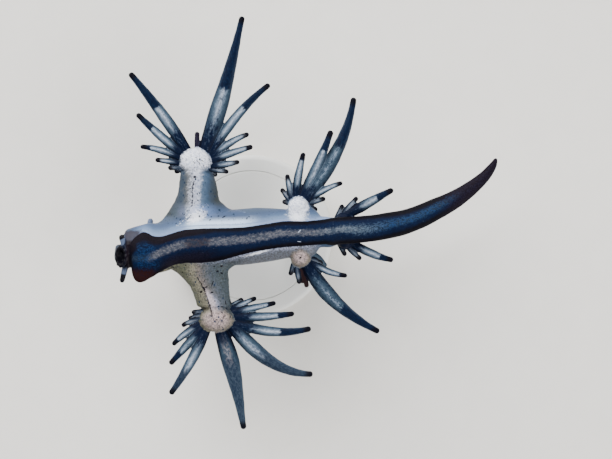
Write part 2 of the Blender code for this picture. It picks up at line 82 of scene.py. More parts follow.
@dataclass(frozen=True)
class Curves:
    """Smooth curves through rows that are sorted by their first column."""

    rows: tuple[tuple[float, ...], ...]

    def at(self, x: np.ndarray, column: int = 1) -> np.ndarray:
        """Reads one column.

        Args:
            x: Places along the first column.
            column: The column to read.

        Returns:
            The column's value at each place.
        """
        keys = np.array([row[0] for row in self.rows])
        values = np.array([row[column] for row in self.rows])
        last = len(keys) - 1
        index = np.arange(last + 1)
        before, after = np.maximum(index - 1, 0), np.minimum(index + 1, last)
        slopes = (values[after] - values[before]) / (keys[after] - keys[before])
        left = np.clip(np.searchsorted(keys, x, side="right") - 1, 0, last - 1)
        span = keys[left + 1] - keys[left]
        t = np.clip((x - keys[left]) / span, 0, 1)
        return (
            (2 * t**3 - 3 * t**2 + 1) * values[left]
            + (t**3 - 2 * t**2 + t) * span * slopes[left]
            + (3 * t**2 - 2 * t**3) * values[left + 1]
            + (t**3 - t**2) * span * slopes[left + 1]
        )

    @property
    def first(self) -> float:
        """Start of the first column."""
        return self.rows[0][0]

    @property
    def last(self) -> float:
        """End of the first column."""
        return self.rows[-1][0]


def unit(vectors: np.ndarray) -> np.ndarray:
    """Vectors of length 1 that point the way the given ones do."""
    return vectors / np.maximum(np.linalg.norm(vectors, axis=-1, keepdims=True), 1e-9)


def across_of(along: np.ndarray) -> np.ndarray:
    """Level directions, at right angles to the given ones, on their left."""
    return unit(np.cross(UP, along))


def new_object(name: str, bm: bmesh.types.BMesh) -> bpy.types.Object:
    """Makes an object in the scene from a bmesh.

    Args:
        name: The object's name.
        bm: The bmesh, which is freed.

    Returns:
        The object.
    """
    mesh = bpy.data.meshes.new(name)
    bm.to_mesh(mesh)
    bm.free()
    obj = bpy.data.objects.new(name, mesh)
    bpy.context.scene.collection.objects.link(obj)
    return obj


def blown_tube(rings: int, sides: int, place: Placer) -> bpy.types.Object:
    """Draws a sphere out into a closed tube with rounded ends.

    Args:
        rings: Rings from end to end, set closer towards the ends.
        sides: Points round each ring.
        place: Gives points for shares along the tube and unit directions round it.

    Returns:
        The tube as an object.
    """
    bm = bmesh.new()
    bmesh.ops.create_uvsphere(bm, u_segments=sides, v_segments=rings, radius=1)
    ball = np.array([vert.co for vert in bm.verts])
    share = np.clip((1 - ball[:, 2]) / 2, 0, 1)
    reach = np.hypot(ball[:, 0], ball[:, 1])
    turn = ball[:, :2] * (reach > 1e-4)[:, None] / np.maximum(reach, 1e-4)[:, None]
    for vert, spot in zip(bm.verts, place(share, turn)):
        vert.co = spot
    bmesh.ops.recalc_face_normals(bm, faces=bm.faces)
    return new_object("form", bm)


def rounded(distance: np.ndarray, cap: float) -> np.ndarray:
    """Share of the full girth at a distance from a tube's end, for a round end."""
    return np.sqrt(np.clip(1 - (1 - np.clip(distance / cap, 0, 1)) ** 2, 0, 1))


# Columns of the body's and the foot's stations after x, and of a stalk's after y, which
# are its x from, x to and half height
MIDDLE, HALF_WIDTH, HALF_HEIGHT = 1, 2, 3
RIGHT, LEFT = 1, 2
STALK = (1, 2, 3)


@dataclass(frozen=True)
class Body:
    """The body from mouth to tail tip, without its foot and limbs."""

    line: Curves
    tail_rise: float = 1.3
    rise_from: float = 3.0
    reach: float = 1.0
    least: float = 0.2
    front_cap: float = 0.45
    tail_cap: float = 0.35
    rings: int = 220
    sides: int = 72

    def centre(self, x: np.ndarray) -> np.ndarray:
        """Points of the centreline.

        Args:
            x: Places along the body.

        Returns:
            The points.
        """
        lift = np.clip((x - self.rise_from) / (self.line.last - self.rise_from), 0, 1)
        height = BODY_HEIGHT + self.tail_rise * lift**2
        return np.stack((x, self.line.at(x, MIDDLE), height), -1)

    def side(self, x: np.ndarray) -> np.ndarray:
        """Level directions across the body.

        Args:
            x: Places along the body.

        Returns:
            The directions.
        """
        low = np.maximum(x - self.reach, self.line.first)
        high = np.minimum(x + self.reach, self.line.last)
        return across_of(self.centre(high) - self.centre(low))

    def build(self) -> bpy.types.Object:
        """Makes the body as one closed form.

        Returns:
            The form.
        """

        def place(share: np.ndarray, turn: np.ndarray) -> np.ndarray:
            """Lays points on the body.

            Args:
                share: Shares along it.
                turn: Unit directions round it.

            Returns:
                The points.
            """
            x = self.line.first + (self.line.last - self.line.first) * share
            girth = rounded(x - self.line.first, self.front_cap)
            girth = girth * rounded(self.line.last - x, self.tail_cap)
            wide = turn[:, 0] * self.line.at(x, HALF_WIDTH) * girth
            high = turn[:, 1] * self.line.at(x, HALF_HEIGHT) * girth
            return self.centre(x) + wide[:, None] * self.side(x) + high[:, None] * UP

        return blown_tube(self.rings, self.sides, place)


BODY = Body(
    Curves(
        (
            (-19.02, -3.35, 0.50, 0.45),
            (-18.85, -3.35, 0.88, 0.80),
            (-18.55, -3.34, 1.10, 1.00),
            (-18.20, -3.30, 1.22, 1.10),
            (-17.90, -3.26, 1.20, 1.12),
            (-17.62, -3.00, 1.50, 1.20),
            (-17.30, -2.74, 2.02, 1.30),
            (-16.65, -2.68, 2.32, 1.45),
            (-15.90, -2.60, 2.47, 1.58),
            (-15.20, -2.52, 2.52, 1.66),
            (-14.45, -2.42, 2.44, 1.76),
            (-12.45, -1.92, 2.35, 1.95),
            (-10.45, -1.66, 2.50, 2.12),
            (-8.45, -1.50, 2.72, 2.20),
            (-6.45, -1.40, 2.80, 2.15),
            (-4.45, -1.22, 2.75, 2.02),
            (-2.05, -1.07, 2.50, 1.82),
            (-0.45, -0.96, 2.18, 1.65),
            (1.55, -0.87, 1.56, 1.40),
            (2.50, -0.92, 1.46, 1.30),
            (3.40, -0.78, 1.32, 1.22),
            (5.85, -0.62, 1.33, 1.12),
            (8.25, -0.30, 1.30, 1.05),
            (10.55, 0.26, 1.20, 0.95),
            (12.85, 1.24, 1.08, 0.85),
            (15.15, 2.45, 0.88, 0.70),
            (17.45, 4.15, 0.60, 0.50),
            (18.60, 5.45, 0.40, 0.36),
            (19.14, 6.44, 0.22, 0.20),
        )
    )
)


@dataclass(frozen=True)
class Foot:
    """The long sole, a strip with rounded margins that runs out into the tail."""

    edges: Curves
    thickness: float = 0.7
    rise: float = 0.25
    margin_level: float = 0.5
    bluntness: float = 0.5
    blunt_end: float = 0.86
    fade_from: float = 2.2
    fade_to: float = 6.5
    join_before: float = 1.2
    join_past: float = 0.4
    front_cap: float = 0.3
    rear_cap: float = 1.0
    map_before: float = 0.8
    map_past: float = 1.5
    front_margin: float = 0.06
    tail_margin: float = 0.04
    skin_share: float = 0.85
    tail_under: float = 0.30
    rings: int = 160
    sides: int = 48

    def margins(self, x: np.ndarray) -> tuple[np.ndarray, np.ndarray]:
        """Finds the margins, which run into the tail's sides.

        Args:
            x: Places along the foot.

        Returns:
            Y of the right and of the left margin.
        """
        inside = np.clip(x, self.edges.first, self.edges.last)
        middle = BODY.centre(x)[:, 1]
        half = BODY.line.at(x, HALF_WIDTH)
        last = self.edges.last
        blend = ease(x, last - self.join_before, last + self.join_past)
        right = self.edges.at(inside, RIGHT) * (1 - blend) + (middle - half) * blend
        left = self.edges.at(inside, LEFT) * (1 - blend) + (middle + half) * blend
        return right, left

    def top(self, x: np.ndarray, y: np.ndarray) -> np.ndarray:
        """Height of the foot's upper face.

        Args:
            x: Places along the foot.
            y: Places across it.

        Returns:
            The heights.
        """
        centre = BODY.centre(x)
        aside = (y - centre[:, 1]) / BODY.line.at(x, HALF_WIDTH)
        level = np.maximum(1 - aside**2, self.margin_level**2)
        rise = self.rise * (1 - ease(x, self.fade_from, self.fade_to))
        return centre[:, 2] + BODY.line.at(x, HALF_HEIGHT) * np.sqrt(level) + rise

    def build(self) -> bpy.types.Object:
        """Makes the foot as one closed form.

        Returns:
            The form.
        """

        def place(share: np.ndarray, turn: np.ndarray) -> np.ndarray:
            """Lays points on the foot.

            Args:
                share: Shares along it.
                turn: Unit directions round it.

            Returns:
                The points.
            """
            x = self.edges.first + (self.fade_to - self.edges.first) * share
            right, left = self.margins(x)
            end = rounded(x - self.edges.first, self.front_cap)
            end = end * rounded(self.fade_to - x, self.rear_cap)
            full = self.blunt_end + (1 - self.blunt_end) * end
            wide = turn[:, 0] * full * (np.abs(turn).sum(1) > 0)
            y = (left + right) / 2 + wide * (left - right) / 2
            high = np.sign(turn[:, 1]) * np.abs(turn[:, 1]) ** self.bluntness * end
            z = self.top(x, y) + (high - 1) * self.thickness / 2
            return np.stack((x, y, z), -1)

        return blown_tube(self.rings, self.sides, place)


FOOT = Foot(
    Curves(
        (
            (-17.34, -4.25, -2.30),
            (-17.18, -5.05, -1.90),
            (-16.90, -5.66, -1.52),
            (-16.50, -5.92, -1.18),
            (-16.00, -5.85, -0.93),
            (-15.50, -5.58, -1.05),
            (-15.00, -5.32, -1.32),
            (-14.15, -4.75, -1.36),
            (-12.95, -4.15, -1.00),
            (-11.90, -3.97, -0.72),
            (-10.30, -3.94, -0.58),
            (-8.25, -3.68, -0.53),
            (-6.20, -3.12, -0.46),
            (-4.45, -2.74, -0.24),
            (-2.05, -2.40, 0.14),
            (0.35, -2.22, 0.17),
            (3.10, -2.02, 0.48),
        )
    )
)


# Middle of the pale stripe down the sole and the tail: x, y
STRIPE = Curves(
    (
        (-15.38, -3.49),
        (-13.88, -2.77),
        (-12.16, -2.20),
        (-11.02, -1.99),
        (-8.88, -1.84),
        (-6.02, -1.63),
        (-3.59, -1.27),
        (-2.16, -0.99),
        (0.69, -0.99),
        (2.12, -0.84),
        (3.55, -0.64),
        (6.55, -0.60),
        (8.55, -0.10),
        (10.55, 0.40),
        (12.55, 1.30),
        (14.55, 2.40),
        (17.00, 4.00),
    )
)


class Tint(Enum):
    """Which of the animal's pigments a ceras wears."""

    ROSE = -1.0
    BLUE = 0.0
    PURPLE = 0.5
    BROWN = 1.0


def compass(degrees: float) -> np.ndarray:
    """Direction over the ground at an angle from +X towards +Y."""
    angle = math.radians(degrees)
    return np.array((math.cos(angle), math.sin(angle), 0.0))


@dataclass(frozen=True)
class Ceras:
    """One finger of a fan.

    It leaves the knob's rim at the compass angle `at`, and its tip lies `reach` from
    the knob's middle on the compass angle `heading`. It leaves and arrives on the two
    given compass angles, or runs straight where these are None, and rises by `lift`
    degrees. Its silver streak runs over the shares `silver` of its length, and `dull`
    makes it greyer. Past the streak it is dark, or blue-grey where `pale` is 1.
    """

    at: float
    heading: float
    reach: float
    breadth: float
    lift: float = 0.0
    leave: float | None = None
    arrive: float | None = None
    silver: tuple[float, float] = (0.22, 0.84)
    tint: Tint = Tint.BLUE
    dull: float = 0.0
    pale: float = 0.0

    @property
    def shape(self) -> Curves:
        """The ceras's half widths along its length, by how broad it is.

        Returns:
            Rows of a share of the length and a half width.
        """
        broad = (self.breadth - SLIM_CERAS) / (BROAD_CERAS - SLIM_CERAS)
        broad = min(max(broad, 0.0), 1.0)
        rows = []
        for t, slim_share, broad_share in CERAS_SHAPE:
            share = slim_share + (broad_share - slim_share) * broad
            rows.append((t, max(self.breadth / 2 * share, CERAS_LEAST)))
        return Curves(tuple(rows))


# Points on a finger's middle line for its length, its box and its nearest place
LENGTH_STEPS = 33
BOX_STEPS = 25
NEAREST_STEPS = 65


@dataclass(frozen=True)
class Finger:
    """A finger: its middle line's four control points, and its half widths."""

    points: np.ndarray
    breadth: float
    shape: Curves
    flatness: float = 1.0
    cap: float = 0.26
    rings: int = 44
    sides: int = 20

    def line(self, t: np.ndarray) -> np.ndarray:
        """Points of the middle line.

        Args:
            t: Shares of its length.

        Returns:
            The points.
        """
        a, b, c, d = self.points
        t = t[:, None]
        s = 1 - t
        return a * s**3 + b * 3 * s**2 * t + c * 3 * s * t**2 + d * t**3

    def along(self, t: np.ndarray) -> np.ndarray:
        """Directions of the middle line.

        Args:
            t: Shares of its length.

        Returns:
            The directions.
        """
        a, b, c, d = self.points
        t = t[:, None]
        s = 1 - t
        return unit((b - a) * s**2 + (c - b) * 2 * s * t + (d - c) * t**2)

    @property
    def length(self) -> float:
        """Length of the middle line."""
        line = self.line(np.linspace(0, 1, LENGTH_STEPS))
        return float(np.linalg.norm(np.diff(line, axis=0), axis=1).sum())

    def girth(self, t: np.ndarray) -> np.ndarray:
        """Half the breadth at shares t, as if the tip weren't rounded."""
        return self.shape.at(t)

    def build(self) -> bpy.types.Object:
        """Makes the finger as one closed form with a round tip.

        Returns:
            The form.
        """

        def place(share: np.ndarray, turn: np.ndarray) -> np.ndarray:
            """Lays points on the finger.

            Args:
                share: Shares along it.
                turn: Unit directions round it.

            Returns:
                The points.
            """
            along = self.along(share)
            side = across_of(along)
            left = (1 - share) * self.length
            half = self.girth(share) * rounded(left, self.cap)
            up = np.cross(along, side)
            return (
                self.line(share)
                + side * half[:, None] * turn[:, :1]
                + up * half[:, None] * turn[:, 1:] * self.flatness
            )

        return blown_tube(self.rings, self.sides, place)

    def near(self, points: np.ndarray, margin: float) -> np.ndarray:
        """Finds the points in the finger's box.

        Args:
            points: The points.
            margin: How far the box is grown.

        Returns:
            Numbers of the points inside.
        """
        line = self.line(np.linspace(0, 1, BOX_STEPS))
        reach = self.breadth / 2 + margin
        inside = (points > line.min(0) - reach) & (points < line.max(0) + reach)
        return np.flatnonzero(np.all(inside, 1))

    def measure(self, spots: np.ndarray) -> tuple[np.ndarray, np.ndarray, np.ndarray]:
        """Reads points in the finger's own terms.

        Args:
            spots: The points.

        Returns:
            Each point's share along the middle line, its nearest place on that line or
            in the tip's cap, and its offset from there over the finger's own radii, as
            columns across, up and along.
        """
        t = np.linspace(0, 1, NEAREST_STEPS)
        line = self.line(t)
        pick = np.linalg.norm(spots[:, None] - line[None], axis=2).argmin(1)
        along = self.along(t)[pick]
        forward = np.einsum("ij,ij->i", spots - line[pick], along)
        share = np.clip(t[pick] + forward / self.length, 0, 1)
        rooted = np.minimum(share, 1 - self.cap / self.length)
        foot = self.line(rooted)
        along = self.along(rooted)
        side = across_of(along)
        up = np.cross(along, side)
        offset = spots - foot
        half = self.girth(share)
        radii = np.stack((half, half * self.flatness, np.full(len(half), self.cap)), -1)
        axes = np.stack((side, up, along), 1)
        own = np.einsum("ijk,ik->ij", axes, offset) / radii
        own[:, 2] *= share > rooted
        return share, foot, own


@dataclass(frozen=True)
class Limb:
    """A side limb: its stalk's stations y, x from, x to, half height, and its fan."""

    stalk: tuple[tuple[float, float, float, float], ...]
    knob: Triple
    knob_radii: Triple
    cerata: tuple[Ceras, ...]
    vein: tuple[tuple[float, float], ...] = ()
    blush: float = 0.0
    pale_knob: bool = True
    root: float = 0.6
    drop: float = 0.25
    handle: float = 0.36
    flatness: float = 0.74
    cap: float = 0.25
    rings: int = 60
    sides: int = 48

    @property
    def middle(self) -> np.ndarray:
        """Middle of the knob."""
        return np.array(self.knob) + UP * BODY_HEIGHT

    def bend(self, ceras: Ceras) -> Finger:
        """Lays out one of the limb's cerata.

        Args:
            ceras: Its outline.

        Returns:
            The ceras as a finger.
        """
        knob = self.middle - UP * self.drop
        outward = compass(ceras.at)
        rim = outward * (self.knob_radii[0], self.knob_radii[1], 0)
        tip = knob + compass(ceras.heading) * ceras.reach
        chord = tip - (knob + rim)
        length = float(np.linalg.norm(chord))
        leave = chord / length if ceras.leave is None else compass(ceras.leave)
        arrive = chord / length if ceras.arrive is None else compass(ceras.arrive)
        tip = tip + UP * length * math.tan(math.radians(ceras.lift))
        start = knob + rim - leave * self.root
        handle = length * self.handle
        near = start + leave * (handle + self.root)
        line = np.array((start, near, tip - arrive * handle, tip))
        return Finger(line, ceras.breadth, ceras.shape, self.flatness)

    def rows(self) -> tuple[Curves, float]:
        """The stalk's stations, sorted by their y times its way out, and that way."""
        away = math.copysign(1.0, self.stalk[-1][0] - self.stalk[0][0])
        return Curves(tuple((y * away, *rest) for y, *rest in self.stalk)), away

    def build_stalk(self) -> bpy.types.Object:
        """Makes the stalk as one closed form.

        Returns:
            The form.
        """
        start, end = self.stalk[0][0], self.stalk[-1][0]
        rows, away = self.rows()

        def place(share: np.ndarray, turn: np.ndarray) -> np.ndarray:
            """Lays points on the stalk.

            Args:
                share: Shares along it.
                turn: Unit directions round it.

            Returns:
                The points.
            """
            y = start + (end - start) * share
            low, high, half_height = (rows.at(y * away, column) for column in STALK)
            left = np.minimum(share, 1 - share) * abs(end - start)
            girth = rounded(left, self.cap)
            x = (low + high) / 2 + (high - low) / 2 * turn[:, 0] * girth
            z = BODY_HEIGHT + half_height * turn[:, 1] * girth
            return np.stack((x, y, z), -1)

        return blown_tube(self.rings, self.sides, place)

    def build_knob(self) -> bpy.types.Object:
        """Makes the flattened ball that carries the fan.

        Returns:
            The form.
        """
        bm = bmesh.new()
        spot = Matrix.Translation(self.middle) @ Matrix.Diagonal((*self.knob_radii, 1))
        bmesh.ops.create_uvsphere(
            bm, u_segments=40, v_segments=28, radius=1, matrix=spot
        )
        return new_object("form", bm)

    def build(self) -> list[bpy.types.Object]:
        """Makes the limb's closed forms, which cross one another.

        Returns:
            The forms.
        """
        forms = [self.build_knob()]
        forms += [self.bend(ceras).build() for ceras in self.cerata]
        if self.stalk:
            forms.append(self.build_stalk())
        return forms


# How broad a ceras is along its length, as shares of its own breadth: a slim one is
# nearly even up to its round tip, and a broad one narrows from a third of its length
CERAS_SHAPE = (
    (0.00, 0.62, 0.62),
    (0.14, 0.86, 0.86),
    (0.32, 1.00, 0.97),
    (0.52, 0.99, 0.78),
    (0.72, 0.84, 0.55),
    (0.90, 0.67, 0.36),
    (1.00, 0.62, 0.30),
)
SLIM_CERAS = 0.7
BROAD_CERAS = 1.8
CERAS_LEAST = 0.24
# A feeler's breadth along its length, as shares of its own breadth
FEELER_SHAPE = ((0.0, 1.0), (0.35, 1.0), (0.7, 0.85), (1.0, 0.72))

LIMBS = (
    # Front left
    Limb(
        stalk=(
            (-1.00, -14.90, -5.20, 0.85),
            (-0.10, -14.80, -5.30, 1.05),
            (0.30, -14.28, -5.60, 1.12),
            (0.80, -13.86, -5.95, 1.16),
            (1.30, -13.52, -7.20, 1.18),
            (1.80, -13.20, -8.00, 1.18),
            (2.30, -12.90, -8.50, 1.16),
            (3.30, -12.64, -8.68, 1.14),
            (4.30, -12.48, -8.88, 1.10),
            (5.20, -12.40, -9.40, 0.95),
        ),
        knob=(-10.90, 6.15, 0.15),
        knob_radii=(1.50, 1.30, 1.15),
        cerata=(
            Ceras(215, 206, 2.30, 0.50, -20),
            Ceras(207, 193, 2.80, 0.52, -16),
            Ceras(188, 177.5, 4.05, 0.60, -10, 171, 177, (0.3, 0.84)),
            Ceras(164, 164.6, 5.75, 0.74, -5, 155, 174, (0.28, 0.76)),
            Ceras(147, 140.9, 7.60, 0.94, -2, 143, 136, (0.24, 0.66)),
            Ceras(123, 126.5, 11.00, 1.24, 2, 124, 130, (0.28, 0.55)),
            Ceras(84, 87.6, 2.95, 0.55, -12, silver=(1.2, 1.3), tint=Tint.PURPLE),
            Ceras(54, 71.9, 15.20, 1.78, 3, 69.5, 77, (0.22, 0.47), dull=0.08),
            Ceras(31, 46.2, 10.70, 1.05, 1, 56, 38, (0.24, 0.63)),
            Ceras(17, 27.6, 6.00, 0.78, -3, 40, 19, (0.30, 0.93)),
            Ceras(4, 14.8, 5.90, 0.80, -2, 20, 15, (0.26, 0.86)),
            Ceras(-20, 0, 4.35, 0.72, -8, 5, 12, (0.3, 0.9)),
            Ceras(-33, -17.5, 3.40, 0.56, -12, silver=(0.25, 0.9)),
            Ceras(-46, -33, 2.50, 0.50, -18, silver=(0.25, 0.9)),
        ),
        vein=((-11.22, 1.5), (-11.10, 2.4), (-11.12, 3.3), (-11.00, 4.2)),
    ),
    # Front right
    Limb(
        stalk=(
            (-2.60, -13.60, -6.40, 0.85),
            (-4.00, -13.60, -6.60, 1.10),
            (-4.40, -13.50, -7.20, 1.16),
            (-4.70, -13.22, -7.56, 1.18),
            (-5.00, -12.78, -7.58, 1.18),
            (-5.50, -12.20, -7.55, 1.18),
            (-6.00, -11.74, -7.53, 1.16),
            (-6.50, -11.40, -7.52, 1.14),
            (-7.50, -11.00, -7.42, 1.10),
            (-8.55, -10.66, -7.25, 0.95),
        ),
        knob=(-8.77, -9.63, 0.15),
        knob_radii=(1.62, 1.30, 1.15),
        cerata=(
            Ceras(141, 165, 2.60, 0.50, -18),
            Ceras(160, 179, 2.80, 0.50, -18),
            Ceras(180, 191, 3.55, 0.58, -9, 196, 218),
            Ceras(197, 210.1, 5.14, 0.78, -5, 212, 226, (0.3, 0.8)),
            Ceras(216, 223.8, 6.52, 0.92, -2, 228, 229, (0.3, 0.7), dull=0.15),
            Ceras(232, 238.2, 8.82, 1.10, 1, 246, 235, (0.28, 0.62), pale=0.5),
            Ceras(
                at=285,
                heading=284,
                reach=11.28,
                breadth=1.86,
                lift=3,
                leave=291,
                arrive=280,
                silver=(0.12, 0.33),
                tint=Tint.ROSE,
                dull=0.26,
                pale=0.85,
            ),
            Ceras(
                at=-27,
                heading=-29.7,
                reach=11.05,
                breadth=1.56,
                lift=1,
                leave=-50,
                arrive=1,
                silver=(0.14, 0.42),
                dull=0.1,
                pale=0.75,
            ),
            Ceras(-18, -5.5, 9.45, 1.05, 2, -17, 14, (0.34, 0.62)),
            Ceras(9, 4.1, 7.76, 0.92, -1, -1, 7, (0.34, 0.74)),
            Ceras(30, 15.4, 6.10, 0.74, -4, silver=(0.32, 0.83)),
            Ceras(45, 28.4, 4.45, 0.56, -9, silver=(0.35, 0.85)),
            Ceras(54, 37.8, 3.25, 0.52, -15, silver=(0.25, 0.88)),
        ),
        vein=(
            (-10.75, -5.3),
            (-10.45, -5.7),
            (-10.0, -6.6),
            (-9.75, -7.2),
            (-9.4, -8.2),
            (-9.15, -9.4),
        ),
        blush=1.0,
    ),
    # Middle left
    Limb(
        stalk=(
            (-0.30, -2.30, 1.80, 0.85),
            (0.70, -2.20, 1.60, 1.00),
            (1.15, -1.95, 1.25, 1.00),
            (1.55, -1.62, 0.70, 0.95),
            (1.90, -1.40, 0.30, 0.80),
        ),
        knob=(-0.60, 1.65, 0.20),
        knob_radii=(1.00, 0.95, 0.95),
        cerata=(
            Ceras(160, 162, 1.65, 0.50, -22),
            Ceras(144, 134.5, 2.45, 0.56, -12),
            Ceras(130, 110, 3.40, 0.70, -4),
            Ceras(108, 84.6, 5.40, 0.85, 0, 85, 76, (0.3, 0.84)),
            Ceras(69, 66.6, 8.25, 1.14, 4, 62, 70, (0.2, 0.72), dull=0.06),
            Ceras(48, 63.1, 12.26, 1.58, -2, 53, 82, (0.16, 0.55), dull=0.3),
            Ceras(37, 28.2, 4.97, 0.68, 6, 34, 15, (0.3, 0.9)),
            Ceras(21, 16.8, 2.77, 0.62, -4),
            Ceras(-5, -10, 1.85, 0.66, -26),
        ),
    ),
    # Middle right
    Limb(
        stalk=(
            (-1.70, -2.00, 1.70, 0.90),
            (-2.50, -1.90, 1.50, 1.00),
            (-3.00, -1.65, 1.15, 1.00),
            (-3.45, -1.20, 0.60, 0.80),
        ),
        knob=(-0.42, -3.45, 0.15),
        knob_radii=(0.98, 0.95, 0.95),
        cerata=(
            Ceras(225, 240, 2.00, 0.50, -12),
            Ceras(247, 267.8, 2.62, 0.58, -6, silver=(0.2, 0.9)),
            Ceras(268, 275, 2.56, 0.50, -18, silver=(1.2, 1.3), tint=Tint.BROWN),
            Ceras(288, 282.4, 3.05, 0.50, -14, silver=(1.2, 1.3), tint=Tint.BROWN),
            Ceras(-48, -43.4, 10.90, 1.62, -3, -62, -27, (0.2, 0.56), dull=0.32),
            Ceras(-22, -21.1, 5.00, 0.70, 8, -36, -4, (0.3, 0.82)),
            Ceras(-9, -14, 2.27, 0.54, 0, silver=(0.2, 0.95)),
            Ceras(25, -20, 2.72, 0.85, -28, -22, -50, silver=(1.2, 1.3), pale=1.0),
        ),
        blush=1.0,
    ),
    # Rear left
    Limb(
        stalk=(),
        knob=(3.90, 0.35, -0.30),
        knob_radii=(0.72, 0.60, 0.62),
        pale_knob=False,
        cerata=(
            Ceras(150, 93, 1.45, 0.50, -6),
            Ceras(90, 58.1, 2.61, 0.58, -2),
            Ceras(55, 31.1, 5.82, 1.08, 2, 29, 27, (0.35, 0.66)),
        ),
    ),
    # Rear right
    Limb(
        stalk=(),
        knob=(4.05, -1.95, -0.30),
        knob_radii=(0.72, 0.60, 0.62),
        pale_knob=False,
        cerata=(
            Ceras(-120, -89, 1.25, 0.50, -8),
            Ceras(-60, -46.8, 2.31, 0.56, -4),
            Ceras(-11, -20.2, 5.15, 0.92, 2, -28, -11, (0.3, 0.7)),
        ),
    ),
)


@dataclass(frozen=True)
class Feeler:
    """A short feeler on the head: base and tip in the body's frame, and its breadth.

    Past the share `dark_from` of its length it is dark.
    """

    base: Triple
    tip: Triple
    breadth: float
    dark_from: float = 2.0

    def lay(self) -> Finger:
        """Lays the feeler out in the frame.

        Returns:
            The feeler as a finger.
        """
        base = np.array(self.base) + UP * BODY_HEIGHT
        tip = np.array(self.tip) + UP * BODY_HEIGHT
        line = np.array([base + (tip - base) * step / 3 for step in range(4)])
        rows = tuple((t, self.breadth / 2 * share) for t, share in FEELER_SHAPE)
        return Finger(line, self.breadth, Curves(rows))


# Oral tentacles left and right, then rhinophores left and right
FEELERS = (
    Feeler((-17.75, -2.40, 0.35), (-18.32, -1.18, 0.55), 0.74, 0.70),
    Feeler((-17.80, -4.00, 0.25), (-18.25, -5.95, 0.40), 0.60, 0.58),
    Feeler((-15.75, -1.90, -0.75), (-15.50, 0.45, -1.35), 0.72),
    Feeler((-15.75, -3.60, -0.75), (-15.55, -5.35, -1.50), 0.72),
)


@dataclass(frozen=True)
class Mouth:
    """The mouth on the snout's upturned face, with its ring of lip."""

    centre: Triple = (-18.22, -3.35, 1.0)
    tilt: float = -24.0
    radius: float = 0.48
    half_thickness: float = 0.17
    stretch: float = 1.75
    depth: float = 0.5
    folds: int = 11

    @property
    def place(self) -> Matrix:
        """Turns the lip's own plane into the frame.

        Returns:
            The matrix.
        """
        spot = Matrix.Translation(Vector(self.centre) + Vector((0, 0, BODY_HEIGHT)))
        turn = Matrix.Rotation(math.radians(self.tilt), 4, "Y")
        return spot @ turn @ Matrix.Diagonal((1, self.stretch, 1, 1))

    def build(self) -> bpy.types.Object:
        """Makes the lip as a closed ring.

        Returns:
            The form.
        """
        bm = bmesh.new()
        section = Matrix.Translation((self.radius, 0, 0))
        section @= Matrix.Rotation(math.pi / 2, 4, "X")
        bmesh.ops.create_circle(
            bm, segments=16, radius=self.half_thickness, matrix=section
        )
        bmesh.ops.spin(
            bm,
            geom=list(bm.verts) + list(bm.edges),
            cent=(0, 0, 0),
            axis=(0, 0, 1),
            angle=math.tau,
            steps=48,
            use_merge=True,
        )
        bmesh.ops.recalc_face_normals(bm, faces=bm.faces)
        bm.transform(self.place)
        return new_object("form", bm)

    def local(self, points: np.ndarray) -> np.ndarray:
        """Points in the lip's own plane, in shares of its radius."""
        back = np.array(self.place.inverted())
        return (points @ back[:3, :3].T + back[:3, 3]) / self.radius


MOUTH = Mouth()

# Distance that the maps start from where nothing is near. Cerata start further off by
# the second number, so that such points don't count as theirs
FAR = 9.0
KNOB_FIRST = 3.0
# How many of its radii a ceras reaches, and the disc map away from all pale knobs
CERAS_EDGE = 1.9
NO_DISC = 3.0
# Where maps start or end, and where they are full: the dark round a bare knob and a
# feeler in radii, an arm past its first station and past its sides in millimetres, and
# a feeler along its length in shares of it
BARE_EDGE = (1.5, 1.15)
ARM_START = (0.6, 1.8)
ARM_EDGE = (0.5, 0.1)
FEELER_EDGE = (1.6, 1.2)
FEELER_START = (0.15, 0.4)
# How far round a ceras and a feeler their maps are drawn
CERAS_MARGIN = 0.45
FEELER_MARGIN = 0.3


